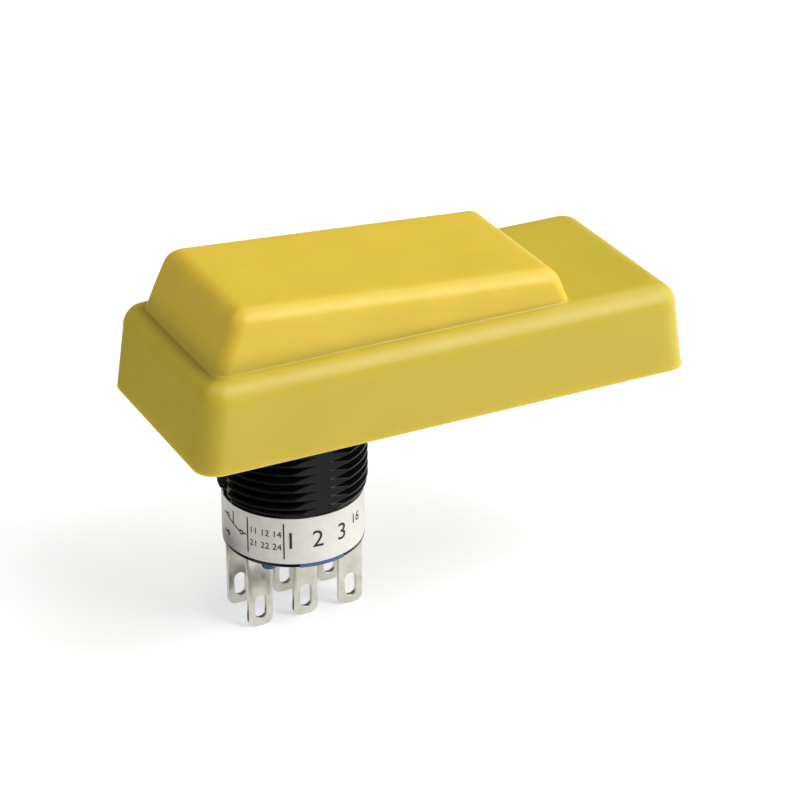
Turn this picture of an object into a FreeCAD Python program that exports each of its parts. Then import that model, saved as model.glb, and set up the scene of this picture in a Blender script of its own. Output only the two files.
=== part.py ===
# Three-position enabling switch: a rubber boot over a hinged lever, on a threaded barrel that
# holds a plunger, two changeover contacts and six blade terminals.
# Millimetres. The origin is on the barrel's axis, in the plane of the panel under the boot;
# +Z is up, +X runs towards the lever's hinge, and the contact rows lie in front (-Y) and behind (+Y).
import FreeCAD, Part
import os
import re
import Sketcher

doc = FreeCAD.newDocument("enabling_switch")
sheet = doc.addObject("Spreadsheet::Sheet", "sizes")

# Driving dimensions, in millimetres and degrees
SIZES = {
    # Boot: the block round the base
    "boot_length": 56.5,
    "boot_width": 24.8,
    "boot_height": 9.45,
    "boot_reach": 15.3,         # from the barrel's axis to the boot's free end
    "boot_end_draft": 1.15,     # how far the ends lean in over the height
    "boot_side_draft": 0.5,
    "boot_corner": 3.3,
    "boot_far_corner": 2.6,     # tighter at the hinge end
    "boot_edge": 2.5,
    "boot_wall": 1.2,
    "lip_width": 2.6,           # the lip that is clamped against the panel
    "lip_thickness": 1.2,
    # Boot: the raised pad over the lever
    "pad_setback": 3.0,         # from the boot's free end to the pad's foot
    "pad_length": 40.2,
    "pad_width": 19.6,
    "pad_rise": 6.28,
    "pad_tilt": 4.2,
    "pad_near_lean": 2.65,
    "pad_far_lean": 2.6,
    "pad_side_lean": 0.65,
    "pad_edge": 1.5,
    # Base tray inside the boot
    "tray_height": 7.25,
    "tray_floor": 1.3,
    "tray_wall": 1.4,
    "panel_recess": 0.15,       # the tray stops short of the panel, so the lip is what seals
    "fit_gap": 0.05,            # between pieces that are pressed or clamped together
    "run_gap": 0.05,            # radial, between pieces that slide or turn
    # Lever and its hinge
    "press_angle": 4.4,
    "lever_gap": 0.3,           # between the lever and the boot
    "lever_wall": 1.4,
    "lever_skirt": 7.6,
    "lever_toe": 14.5,          # from the hinge back to where the arm meets the skirt
    "hinge_setback": 6.7,       # from the boot's far end to the hinge
    "hinge_height": 5.3,
    "knuckle_diameter": 4.6,
    "pin_diameter": 2.0,
    "pin_recess": 0.3,
    "side_play": 0.15,
    "pusher_diameter": 6.0,
    "pusher_flat": 0.8,
    "pusher_crown": 0.8,
    "press_gap": 0.1,
    "rib_width": 1.2,
    "rib_lift": 1.4,            # from the pusher's end up to the ribs beside it
    # Barrel
    "thread_diameter": 16.0,
    "thread_length": 9.4,
    "strip_width": 1.0,         # smooth strips that interrupt the thread
    "strip_depth": 0.55,
    "case_diameter": 15.2,
    "case_length": 16.05,
    "label_start": 10.2,
    "label_height": 5.4,
    "label_thickness": 0.1,
    "notch_width": 5.2,
    "spigot_diameter": 17.0,
    "collar_diameter": 20.0,
    "collar_thickness": 1.1,
    "mouth_diameter": 13.0,
    "mouth_depth": 1.8,
    "mouth_wall": 1.8,
    "plunger_bore": 12.0,
    "blade_bore": 12.6,
    "base_bore": 13.7,
    # Guide bush, plunger and cap
    "stem_diameter": 7.0,
    "bush_wall": 0.8,
    "bush_flange": 0.4,
    "stop_gap": 0.1,
    "flange_diameter": 11.5,
    "flange_thickness": 1.1,
    "tail_diameter": 2.4,
    "cap_level": 9.6,           # top of the cap above the panel, with the lever released
    "cap_diameter": 11.4,
    "cap_thickness": 1.2,
    "cap_spigot": 4.4,
    # Springs
    "return_wire": 0.7,
    "return_diameter": 11.0,
    "return_turns": 4.0,
    "overtravel_wire": 0.45,
    "overtravel_diameter": 10.8,
    "overtravel_turns": 2.2,
    "overtravel_height": 2.4,
    # Contact carriage and wipers
    "guide_depth": 5.5,         # from the panel down to the blade guide
    "guide_thickness": 1.0,
    "tail_gap": 0.25,
    "carriage_gap": 0.25,       # below the blade guide, with the lever released
    "hub_length": 6.0,
    "hub_height": 1.7,
    "hub_gap": 0.2,             # between the hub and the fixed contacts that it passes
    "cross_pin_diameter": 0.8,
    "carriage_length": 11.0,
    "carriage_width": 2.4,
    "carriage_height": 2.2,
    "wiper_thickness": 0.3,
    "wiper_lobe": 1.8,
    "wiper_bar": 1.0,
    "dimple_foot": 1.4,
    "dimple_tip": 0.7,
    "rivet_diameter": 0.8,
    "rivet_head": 1.4,
    "rivet_head_height": 0.2,
    "rivet_spacing": 4.6,
    "contact_gap": 0.08,
    # Terminal base, blades and fixed contacts
    "base_thickness": 2.4,
    "boss_diameter": 1.6,
    "boss_height": 1.1,
    "boss_across": 4.6,         # place of the index boss, from the barrel's axis
    "boss_forward": 3.8,
    "row_spacing": 5.34,
    "tab_pitch": 5.3,
    "tab_width": 2.8,
    "tab_thickness": 0.5,
    "tab_length": 8.65,
    "tab_corner": 0.9,
    "slot_width": 1.3,
    "slot_length": 2.75,
    "slot_margin": 0.95,
    "neck_width": 1.4,
    "neck_gap": 0.28,           # between an outer neck and the bore that it stands in
    "blade_seat": 0.5,
    "tip_diameter": 1.1,
    "tip_proud": 0.35,
}

for row, (alias, number) in enumerate(SIZES.items(), start=1):
    sheet.set(f"A{row}", alias)
    sheet.set(f"B{row}", str(number))
    sheet.setAlias(f"B{row}", alias)
doc.recompute()

# Heights and places that several pieces share, as formulas of the sheet's cells
BOOT_MIDDLE = "(boot_length / 2 - boot_reach)"
PAD_NEAR = "(pad_setback - boot_reach)"
PAD_FAR = "(pad_setback - boot_reach + pad_length)"
TILT = "tan(pad_tilt * 1deg)"
TRAY_INSET = "(boot_wall + fit_gap)"
FLOOR_TOP = "(lip_thickness + tray_floor)"
COLLAR_TOP = "(lip_thickness + tray_floor + collar_thickness)"
SPRING_SEAT = f"({COLLAR_TOP} - mouth_depth)"
MOUTH_UNDERSIDE = f"({SPRING_SEAT} - mouth_wall)"
FLANGE_TOP = f"({MOUTH_UNDERSIDE} - stop_gap)"
FLANGE_BOTTOM = f"({FLANGE_TOP} - flange_thickness)"
CAP_BOTTOM = "(cap_level - cap_thickness)"
PUSHER_END = "(cap_level + press_gap)"
HINGE_X = "(boot_length - boot_reach - hinge_setback)"
TRAVEL = f"({HINGE_X} * tan(press_angle * 1deg))"
GUIDE_BOTTOM = "(-guide_depth - guide_thickness)"
HUB_TOP = f"({GUIDE_BOTTOM} - carriage_gap)"
HUB_BOTTOM = f"({HUB_TOP} - hub_height)"
CROSS_PIN_LEVEL = f"({HUB_TOP} - hub_height / 2)"
CARRIAGE_BOTTOM = f"({HUB_BOTTOM} - carriage_height)"
WIPER_LEVEL = f"({HUB_BOTTOM} - carriage_height / 2)"
BASE_TOP = "(base_thickness - case_length)"
BLADE_FACE = "(row_spacing / 2 - tab_thickness / 2)"
TIP_FACE = f"({BLADE_FACE} - tip_proud)"
WIPER_FACE = "(carriage_width / 2 + wiper_thickness)"
BLADE_REACH = "sqrt((blade_bore / 2)^2 - (row_spacing / 2 + tab_thickness / 2)^2)"
NECK_PLACE = f"({BLADE_REACH} - neck_gap - neck_width / 2)"
LEVER_HALF_WIDTH = "(pad_width / 2 - boot_wall - lever_gap - pad_side_lean)"

UP = FreeCAD.Vector(0, 0, 1)
ACROSS = FreeCAD.Vector(1, 0, 0)
STAND_UP = FreeCAD.Rotation(ACROSS, 90)
NEARLY = 0.01                   # how near an edge lies to a level that it is picked by


def in_sheet(formula):
    """Put the sheet's name before each cell's alias in a formula."""
    return re.sub(r"[a-z_]+", lambda word: f"sizes.{word[0]}" if word[0] in SIZES else word[0], formula)


def value(formula):
    """The number that a formula gives with the sheet's present values."""
    return float(sheet.evalExpression(in_sheet(formula)))


def bind(thing, prop, formula):
    """Tie a property to the sheet's cells."""
    thing.setExpression(prop, in_sheet(formula))


def new_body(name):
    body = doc.addObject("PartDesign::Body", name)
    body.Label = name
    return body


def sketch(body, name, plane, offset="0"):
    """An empty sketch parallel to one of the body's own origin planes."""
    drawing = body.newObject("Sketcher::SketchObject", name)
    support = next(item for item in body.Origin.OriginFeatures if item.Role == plane)
    drawing.AttachmentSupport = (support, [""])
    drawing.MapMode = "FlatFace"
    bind(drawing, "AttachmentOffset.Base.z", offset)
    return drawing


def hold_point(drawing, geometry, end, x, y):
    """Fix a point of the sketch at distances from the origin that follow the sheet."""
    for kind, formula in (("DistanceX", x), ("DistanceY", y)):
        rule = Sketcher.Constraint(kind, -1, 1, geometry, end, value(formula))
        index = drawing.addConstraint(rule)
        bind(drawing, f"Constraints[{index}]", formula)


def draw_polygon(drawing, points):
    """A closed outline through points given as pairs of formulas."""
    places = [FreeCAD.Vector(value(x), value(y), 0) for x, y in points]
    first = drawing.GeometryCount
    count = len(points)
    for index in range(count):
        line = Part.LineSegment(places[index], places[(index + 1) % count])
        drawing.addGeometry(line, False)
    for index in range(count):
        following = first + (index + 1) % count
        drawing.addConstraint(Sketcher.Constraint("Coincident", first + index, 2, following, 1))
    for index, (x, y) in enumerate(points):
        hold_point(drawing, first + index, 1, x, y)


def draw_rectangle(drawing, left, right, low, high):
    draw_polygon(drawing, [(left, low), (right, low), (right, high), (left, high)])


def draw_circle(drawing, x, y, radius):
    centre = FreeCAD.Vector(value(x), value(y), 0)
    circle = drawing.addGeometry(Part.Circle(centre, UP, value(radius)), False)
    hold_point(drawing, circle, 3, x, y)
    index = drawing.addConstraint(Sketcher.Constraint("Radius", circle, value(radius)))
    bind(drawing, f"Constraints[{index}]", radius)


def extrude(body, name, drawing, length, cut=False, both_ways=False, backwards=False):
    """A Pad, or a Pocket where cut is set, of a sketch."""
    feature = body.newObject("PartDesign::Pocket" if cut else "PartDesign::Pad", name)
    feature.Profile = drawing
    if both_ways:
        feature.SideType = "Symmetric"
    feature.Reversed = backwards
    bind(feature, "Length", length)
    return feature


def revolve(body, name, points):
    """A turned form about the barrel's axis, from pairs of radius and height."""
    drawing = sketch(body, f"{name}_profile", "XZ_Plane")
    draw_polygon(drawing, points)
    feature = body.newObject("PartDesign::Revolution", name)
    feature.Profile = drawing
    feature.ReferenceAxis = (drawing, ["V_Axis"])
    feature.Angle = 360
    return feature


def fillet(body, name, base, chosen, radius):
    """Round the edges of a feature that the test chooses."""
    doc.recompute()
    names = [f"Edge{index}" for index, edge in enumerate(base.Shape.Edges, start=1) if chosen(edge)]
    feature = body.newObject("PartDesign::Fillet", name)
    feature.Base = (base, names)
    bind(feature, "Radius", radius)
    return feature


def place(thing, x, y, z, rotation=FreeCAD.Rotation()):
    """Set a primitive's turn, and tie its place to the sheet."""
    thing.Placement = FreeCAD.Placement(FreeCAD.Vector(), rotation)
    for axis, formula in (("x", x), ("y", y), ("z", z)):
        bind(thing, f"Placement.Base.{axis}", formula)


def stands(edge):
    """True for an edge that runs up the corner between two walls."""
    extent = edge.BoundBox
    return extent.ZLength > extent.XLength + extent.YLength


def frustum(body, name, low, high, foot, top, cut=False):
    """A tapered block between two heights; foot and top give left, right and half-width."""
    block = body.newObject("PartDesign::SubtractiveWedge" if cut else "PartDesign::AdditiveWedge", name)
    block.Placement = FreeCAD.Placement(FreeCAD.Vector(), STAND_UP)
    bind(block, "Ymin", low)
    bind(block, "Ymax", high)
    for prefix, outline in (("", foot), ("2", top)):
        left, right, half_width = outline
        bind(block, f"X{prefix}min", left)
        bind(block, f"X{prefix}max", right)
        bind(block, f"Z{prefix}min", f"-({half_width})")
        bind(block, f"Z{prefix}max", half_width)
    return block


def boot_outline(inset, height):
    """The boot's drafted block at a height, set in from the outside by a wall."""
    half_length = f"boot_length / 2 - boot_end_draft * ({height}) / boot_height - ({inset})"
    half_width = f"boot_width / 2 - boot_side_draft * ({height}) / boot_height - ({inset})"
    return f"{BOOT_MIDDLE} - ({half_length})", f"{BOOT_MIDDLE} + ({half_length})", half_width


def boot_block(body, name, inset, low, high, cut=False):
    return frustum(body, name, low, high, boot_outline(inset, low), boot_outline(inset, high), cut)


def pad_outline(inset, rise):
    """The press pad's walls at a height over its foot, set in from the outside."""
    left = f"{PAD_NEAR} + ({inset}) + pad_near_lean * ({rise}) / pad_rise"
    right = f"{PAD_FAR} - ({inset}) - pad_far_lean * ({rise}) / pad_rise"
    half_width = f"pad_width / 2 - ({inset}) - pad_side_lean * ({rise}) / pad_rise"
    return left, right, half_width


def boot_form(name, inset, foot):
    """The boot's moulded form, set in from the outside: a block, and a raised, tilted pad joined to it."""
    block_form = new_body(f"{name}_block_form")
    shoulder = f"(boot_height - ({inset}))"
    block = boot_block(block_form, f"{name}_block", inset, foot, shoulder)
    middle = value(BOOT_MIDDLE)
    corner = f"max(boot_corner - ({inset}); boot_corner / 4)"
    near_rounded = fillet(block_form, f"{name}_corners", block,
                          lambda side: stands(side) and side.CenterOfMass.x < middle, corner)
    far_corner = f"max(boot_far_corner - ({inset}); boot_far_corner / 4)"
    rounded = fillet(block_form, f"{name}_far_corners", near_rounded,
                     lambda side: stands(side) and side.CenterOfMass.x > middle, far_corner)
    crown = value(shoulder)
    edge = f"max(boot_edge - ({inset}); boot_edge / 4)"
    fillet(block_form, f"{name}_edge", rounded, lambda side: side.BoundBox.ZMin > crown - NEARLY, edge)
    pad_form = new_body(f"{name}_pad_form")
    root = f"({shoulder} - boot_edge / 2)"
    sunk, full = pad_outline(inset, "-boot_edge / 2"), pad_outline(inset, "pad_rise")
    frustum(pad_form, f"{name}_pad", root, f"{shoulder} + pad_rise", sunk, full)
    left, right = full[0], PAD_FAR
    top = f"{shoulder} + pad_rise"
    spare = "pad_rise"
    drop = f"({right} - ({left})) * {TILT}"
    slope = sketch(pad_form, f"{name}_slope", "XZ_Plane")
    draw_polygon(slope, [(left, top), (right, f"{top} - {drop}"), (right, f"{top} + {spare}"),
                         (left, f"{top} + {spare}")])
    tilted = extrude(pad_form, f"{name}_tilt", slope, "boot_width", cut=True, both_ways=True)
    above = value(root) + NEARLY
    rim = f"max(pad_edge - ({inset}); pad_edge / 4)"
    fillet(pad_form, f"{name}_rim", tilted, lambda side: side.CenterOfMass.z > above, rim)
    form = doc.addObject("Part::Fuse", name)
    form.Base = block_form
    form.Tool = pad_form
    return form


# Rubber boot: the outside, less a core that leaves an even wall and a lip round the opening
boot_outside = boot_form("boot_outside", "0", "0")
boot_core = boot_form("boot_core", "boot_wall", "lip_thickness")
core_block = boot_core.Base
opening_plan = sketch(core_block, "lip_opening_plan", "XY_Plane", "-lip_thickness")
opening_left = f"{BOOT_MIDDLE} - boot_length / 2 + lip_width"
opening_right = f"{BOOT_MIDDLE} + boot_length / 2 - lip_width"
opening_half = "boot_width / 2 - lip_width"
draw_rectangle(opening_plan, opening_left, opening_right, f"-({opening_half})", opening_half)
opening = extrude(core_block, "lip_opening", opening_plan, "2 * lip_thickness")
fillet(core_block, "lip_opening_corners", opening,
       lambda edge: stands(edge) and edge.BoundBox.ZMin < 0, "boot_corner - boot_wall")
rubber_boot = doc.addObject("Part::Cut", "rubber_boot")
rubber_boot.Base = boot_outside
rubber_boot.Tool = boot_core

# Operator base: a stiff tray that fills the boot, with a foot in the lip's opening
operator_base = new_body("operator_base")
tray = boot_block(operator_base, "tray", TRAY_INSET, "lip_thickness", "tray_height")
fillet(operator_base, "tray_corners", tray, stands, "boot_corner - boot_wall")
boot_block(operator_base, "tray_room", f"{TRAY_INSET} + tray_wall", FLOOR_TOP, "tray_height", cut=True)
foot_plan = sketch(operator_base, "foot_plan", "XY_Plane", "panel_recess")
draw_rectangle(foot_plan, f"{opening_left} + fit_gap", f"{opening_right} - fit_gap",
               f"-({opening_half} - fit_gap)", f"{opening_half} - fit_gap")
foot = extrude(operator_base, "foot", foot_plan, "lip_thickness - panel_recess")
seat_level = value("lip_thickness")
fillet(operator_base, "foot_corners", foot,
       lambda edge: stands(edge) and edge.BoundBox.ZMax < seat_level + NEARLY, "boot_corner - boot_wall")
boss_inner = f"({LEVER_HALF_WIDTH} + side_play)"
boss_outer = boot_outline(f"{TRAY_INSET} + tray_wall / 2", "tray_height")[2]
for side, direction in (("front", "-1"), ("back", "1")):
    boss = sketch(operator_base, f"hinge_boss_{side}_profile", "XZ_Plane",
                  f"-({direction}) * ({boss_inner} + {boss_outer}) / 2")
    draw_rectangle(boss, f"{HINGE_X} - knuckle_diameter / 2", f"{HINGE_X} + knuckle_diameter / 2",
                   f"{FLOOR_TOP} - tray_floor / 2", "tray_height")
    extrude(operator_base, f"hinge_boss_{side}", boss, f"{boss_outer} - {boss_inner}", both_ways=True)
pin_bore = sketch(operator_base, "pin_bore_circle", "XZ_Plane")
draw_circle(pin_bore, HINGE_X, "hinge_height", "pin_diameter / 2")
extrude(operator_base, "pin_bore", pin_bore, "boot_width", cut=True, both_ways=True)
spigot_bore = sketch(operator_base, "spigot_bore_circle", "XY_Plane", FLOOR_TOP)
draw_circle(spigot_bore, "0", "0", "spigot_diameter / 2 + fit_gap")
extrude(operator_base, "spigot_bore", spigot_bore, FLOOR_TOP, cut=True)

# Hinge pin: a plain steel pin across the tray, pressed into its side walls
hinge_pin = doc.addObject("Part::Cylinder", "hinge_pin")
pin_half = boot_outline(TRAY_INSET, "hinge_height")[2]
bind(hinge_pin, "Radius", "pin_diameter / 2")
bind(hinge_pin, "Height", f"2 * ({pin_half} - pin_recess)")
place(hinge_pin, HINGE_X, f"{pin_half} - pin_recess", "hinge_height", STAND_UP)

# Lever: a hollow paddle that follows the inside of the pad, with an arm down to the hinge
lever = new_body("lever")
inner_shoulder = "(boot_height - boot_wall)"
near_slope = "pad_near_lean / pad_rise"
far_slope = "pad_far_lean / pad_rise"
near_foot = f"({PAD_NEAR} + boot_wall + lever_gap)"
far_foot = f"({PAD_FAR} - boot_wall - lever_gap)"
arm_top = f"({inner_shoulder} - lever_gap)"
roof_near_x = f"({near_foot} + pad_near_lean)"
roof_near_z = f"({inner_shoulder} + pad_rise - lever_gap - lever_gap * {TILT})"
roof_far_rise = f"({roof_near_z} - ({far_foot} - pad_far_lean - {roof_near_x}) * {TILT} - {arm_top})"
roof_far_x = f"({far_foot} - {far_slope} * {roof_far_rise})"
roof_far_z = f"({roof_near_z} - ({roof_far_x} - {roof_near_x}) * {TILT})"
knuckle_top = "(hinge_height + knuckle_diameter / 2)"
paddle = sketch(lever, "paddle_profile", "XZ_Plane")
draw_polygon(paddle, [
    (f"{near_foot} - {near_slope} * ({inner_shoulder} - lever_skirt)", "lever_skirt"),
    (roof_near_x, roof_near_z),
    (roof_far_x, roof_far_z),
    (far_foot, arm_top),
    (HINGE_X, knuckle_top),
    (HINGE_X, "hinge_height - knuckle_diameter / 2"),
    (f"{HINGE_X} - lever_toe", "lever_skirt"),
])
extrude(lever, "paddle", paddle, f"2 * {LEVER_HALF_WIDTH}", both_ways=True)
knuckle = sketch(lever, "knuckle_circle", "XZ_Plane")
draw_circle(knuckle, HINGE_X, "hinge_height", "knuckle_diameter / 2")
extrude(lever, "knuckle", knuckle, f"2 * {LEVER_HALF_WIDTH}", both_ways=True)
hollow = sketch(lever, "hollow_profile", "XZ_Plane")
hollow_end = f"{HINGE_X} - knuckle_diameter / 2 - lever_wall / 2"
draw_polygon(hollow, [
    (f"{near_foot} + lever_wall", "0"),
    (f"{near_foot} + lever_wall", inner_shoulder),
    (f"{roof_near_x} + lever_wall", f"{roof_near_z} - lever_wall"),
    (f"{roof_far_x} - lever_wall", f"{roof_far_z} - lever_wall"),
    (f"{far_foot} - lever_wall", f"{arm_top} - lever_wall"),
    (hollow_end, f"{knuckle_top} - lever_wall"),
    (hollow_end, "0"),
])
extrude(lever, "hollow", hollow, f"2 * ({LEVER_HALF_WIDTH} - lever_wall)", cut=True, both_ways=True)
roof_over_pusher = f"({roof_near_z} + {roof_near_x} * {TILT} - lever_wall / 2)"
pusher_root = f"({roof_over_pusher} - pusher_diameter / 2 * {TILT})"
revolve(lever, "pusher", [
    ("0", PUSHER_END),
    ("pusher_flat", PUSHER_END),
    ("pusher_diameter / 2", f"{PUSHER_END} + pusher_crown"),
    ("pusher_diameter / 2", pusher_root),
    ("0", pusher_root),
])
rib_low = f"({PUSHER_END} + rib_lift)"
rib_across = sketch(lever, "rib_across_profile", "XZ_Plane")
draw_rectangle(rib_across, "-rib_width / 2", "rib_width / 2", rib_low, roof_over_pusher)
extrude(lever, "rib_across", rib_across, f"2 * ({LEVER_HALF_WIDTH} - lever_wall / 2)", both_ways=True)
rib_along = sketch(lever, "rib_along_profile", "XZ_Plane")
draw_polygon(rib_along, [
    (f"{near_foot} + pad_near_lean", rib_low),
    (f"{roof_near_x} + lever_wall / 2", f"{roof_near_z} - lever_wall / 2"),
    (f"{roof_far_x} - lever_wall / 2", f"{roof_far_z} - lever_wall / 2"),
    (f"{far_foot} - lever_wall / 2", f"{arm_top} - lever_wall / 2"),
    (f"{far_foot} - lever_toe / 2", rib_low),
])
extrude(lever, "rib_along", rib_along, "rib_width", both_ways=True)
lever_bore = sketch(lever, "lever_bore_circle", "XZ_Plane")
draw_circle(lever_bore, HINGE_X, "hinge_height", "pin_diameter / 2 + run_gap")
extrude(lever, "lever_bore", lever_bore, "boot_width", cut=True, both_ways=True)

# Barrel case: a collar keyed by two flats in the tray, spigot, thread outline, label seat, stepped bore
barrel_case = new_body("barrel_case")
case_radius = "case_diameter / 2"
label_end = "-(label_start + label_height)"
bush_radius = "(stem_diameter / 2 + run_gap + bush_wall)"
revolve(barrel_case, "case_wall", [
    ("mouth_diameter / 2", COLLAR_TOP),
    ("collar_diameter / 2", COLLAR_TOP),
    ("collar_diameter / 2", FLOOR_TOP),
    ("spigot_diameter / 2", FLOOR_TOP),
    ("spigot_diameter / 2", "0"),
    ("thread_diameter / 2", "0"),
    ("thread_diameter / 2", "(thread_diameter - case_diameter) / 2 - thread_length"),
    (case_radius, "-thread_length"),
    (case_radius, "-label_start"),
    (f"{case_radius} - label_thickness", "-label_start"),
    (f"{case_radius} - label_thickness", label_end),
    (case_radius, label_end),
    (case_radius, "-case_length"),
    ("base_bore / 2", "-case_length"),
    ("base_bore / 2", BASE_TOP),
    ("blade_bore / 2", BASE_TOP),
    ("blade_bore / 2", "-guide_depth"),
    ("plunger_bore / 2", "-guide_depth"),
    ("plunger_bore / 2", MOUTH_UNDERSIDE),
    (bush_radius, MOUTH_UNDERSIDE),
    (bush_radius, SPRING_SEAT),
    ("mouth_diameter / 2", SPRING_SEAT),
])
strip_plan = sketch(barrel_case, "strip_plan", "XY_Plane")
draw_rectangle(strip_plan, "thread_diameter / 2 - strip_depth", "thread_diameter / 2 + strip_depth",
               "-strip_width / 2", "strip_width / 2")
strip = extrude(barrel_case, "strip", strip_plan, "thread_length", cut=True)
strips = barrel_case.newObject("PartDesign::PolarPattern", "strips")
strips.Originals = [strip]
strips.Axis = (strip_plan, ["N_Axis"])
strips.Angle = 360
strips.Occurrences = 4
barrel_case.Tip = strips
flat_half = boot_outline(f"{TRAY_INSET} + tray_wall + fit_gap", COLLAR_TOP)[2]
flat_plan = sketch(barrel_case, "collar_flat_plan", "XY_Plane", FLOOR_TOP)
for near, far in ((flat_half, "boot_width"), ("-boot_width", f"-({flat_half})")):
    draw_rectangle(flat_plan, "-collar_diameter", "collar_diameter", near, far)
extrude(barrel_case, "collar_flats", flat_plan, "collar_thickness", cut=True, backwards=True)
notch_plan = sketch(barrel_case, "notch_plan", "XY_Plane", label_end)
draw_rectangle(notch_plan, "-notch_width / 2", "notch_width / 2", "-case_diameter", "case_diameter")
extrude(barrel_case, "rim_notches", notch_plan, "case_length - label_start - label_height", cut=True)

# Label band: a thin sleeve in its seat on the barrel
rating_label = new_body("rating_label")
revolve(rating_label, "label_band", [
    (f"{case_radius} - label_thickness", "-label_start"),
    (case_radius, "-label_start"),
    (case_radius, label_end),
    (f"{case_radius} - label_thickness", label_end),
])

# Guide bush: a flanged sleeve in the barrel's mouth, which the plunger's stem runs in
guide_bush = new_body("guide_bush")
bush_bore = "(stem_diameter / 2 + run_gap)"
revolve(guide_bush, "bush", [
    (bush_bore, MOUTH_UNDERSIDE),
    (bush_radius, MOUTH_UNDERSIDE),
    (bush_radius, SPRING_SEAT),
    (f"{bush_radius} + bush_flange", SPRING_SEAT),
    (f"{bush_radius} + bush_flange", f"{SPRING_SEAT} + bush_flange"),
    (bush_bore, f"{SPRING_SEAT} + bush_flange"),
])

# Plunger: stem with a stop flange under the barrel's mouth and a tail down to the carriage
plunger = new_body("plunger")
tail_radius = "tail_diameter / 2"
revolve(plunger, "plunger_stem", [
    ("0", "cap_level"),
    ("cap_spigot / 2", "cap_level"),
    ("cap_spigot / 2", CAP_BOTTOM),
    ("stem_diameter / 2", CAP_BOTTOM),
    ("stem_diameter / 2", FLANGE_TOP),
    ("flange_diameter / 2", FLANGE_TOP),
    ("flange_diameter / 2", FLANGE_BOTTOM),
    (tail_radius, FLANGE_BOTTOM),
    (tail_radius, HUB_BOTTOM),
    ("0", HUB_BOTTOM),
])
tail_hole = sketch(plunger, "tail_hole_circle", "YZ_Plane")
draw_circle(tail_hole, "0", CROSS_PIN_LEVEL, "cross_pin_diameter / 2")
extrude(plunger, "tail_hole", tail_hole, "2 * tail_diameter", cut=True, both_ways=True)

# Plunger cap: a mushroom washer on the stem's top, which the return spring pushes up
plunger_cap = new_body("plunger_cap")
revolve(plunger_cap, "cap", [
    ("cap_spigot / 2", "cap_level"),
    ("cap_diameter / 2 - cap_thickness / 2", "cap_level"),
    ("cap_diameter / 2", "cap_level - cap_thickness / 2"),
    ("cap_diameter / 2", CAP_BOTTOM),
    ("cap_spigot / 2", CAP_BOTTOM),
])


def coil_spring(name, foot, height, wire, diameter, turns):
    """A round-wire compression spring on the barrel's axis."""
    body = new_body(name)
    section = sketch(body, f"{name}_section", "XZ_Plane")
    draw_circle(section, f"({diameter} - {wire}) / 2", f"{foot} + {wire} / 2", f"{wire} / 2")
    coil = body.newObject("PartDesign::AdditiveHelix", f"{name}_coil")
    coil.Profile = section
    coil.ReferenceAxis = (section, ["V_Axis"])
    bind(coil, "Height", f"({height}) - {wire}")
    bind(coil, "Pitch", f"(({height}) - {wire}) / {turns}")
    return body


# Springs: the return spring under the cap, and a stiffer one that the flange meets late in its travel
return_spring = coil_spring("return_spring", SPRING_SEAT, f"{CAP_BOTTOM} - {SPRING_SEAT}",
                            "return_wire", "return_diameter", "return_turns")
overtravel_spring = coil_spring("overtravel_spring", "-guide_depth", "overtravel_height",
                                "overtravel_wire", "overtravel_diameter", "overtravel_turns")

# Contact carriage: a hub on the plunger's tail and a crossbar between the two rows of blades
contact_carriage = new_body("contact_carriage")
hub_plan = sketch(contact_carriage, "hub_plan", "XY_Plane", HUB_BOTTOM)
hub_half = f"({TIP_FACE} - hub_gap)"
draw_rectangle(hub_plan, "-hub_length / 2", "hub_length / 2", f"-{hub_half}", hub_half)
hub = extrude(contact_carriage, "hub", hub_plan, "hub_height")
fillet(contact_carriage, "hub_corners", hub, stands, f"{hub_half} / 2")
tail_socket = sketch(contact_carriage, "tail_socket_circle", "XY_Plane", HUB_TOP)
draw_circle(tail_socket, "0", "0", tail_radius)
extrude(contact_carriage, "tail_socket", tail_socket, "hub_height", cut=True)
crossbar_plan = sketch(contact_carriage, "crossbar_plan", "XY_Plane", CARRIAGE_BOTTOM)
draw_rectangle(crossbar_plan, "-carriage_length / 2", "carriage_length / 2",
               "-carriage_width / 2", "carriage_width / 2")
extrude(contact_carriage, "crossbar", crossbar_plan, "carriage_height")
hub_hole = sketch(contact_carriage, "hub_hole_circle", "YZ_Plane")
draw_circle(hub_hole, "0", CROSS_PIN_LEVEL, "cross_pin_diameter / 2")
extrude(contact_carriage, "hub_hole", hub_hole, "2 * hub_length", cut=True, both_ways=True)
rivet_places = ("-rivet_spacing / 2", "rivet_spacing / 2")
rivet_holes = sketch(contact_carriage, "rivet_circles", "XZ_Plane")
for rivet_place in rivet_places:
    draw_circle(rivet_holes, rivet_place, WIPER_LEVEL, "rivet_diameter / 2")
extrude(contact_carriage, "rivet_holes", rivet_holes, "2 * carriage_width", cut=True, both_ways=True)

# Cross pin: locks the carriage's hub to the plunger's tail
carriage_pin = doc.addObject("Part::Cylinder", "carriage_pin")
bind(carriage_pin, "Radius", "cross_pin_diameter / 2")
bind(carriage_pin, "Height", "hub_length - cross_pin_diameter")
place(carriage_pin, "(cross_pin_diameter - hub_length) / 2", "0", CROSS_PIN_LEVEL,
      FreeCAD.Rotation(FreeCAD.Vector(0, 1, 0), 90))

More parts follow.
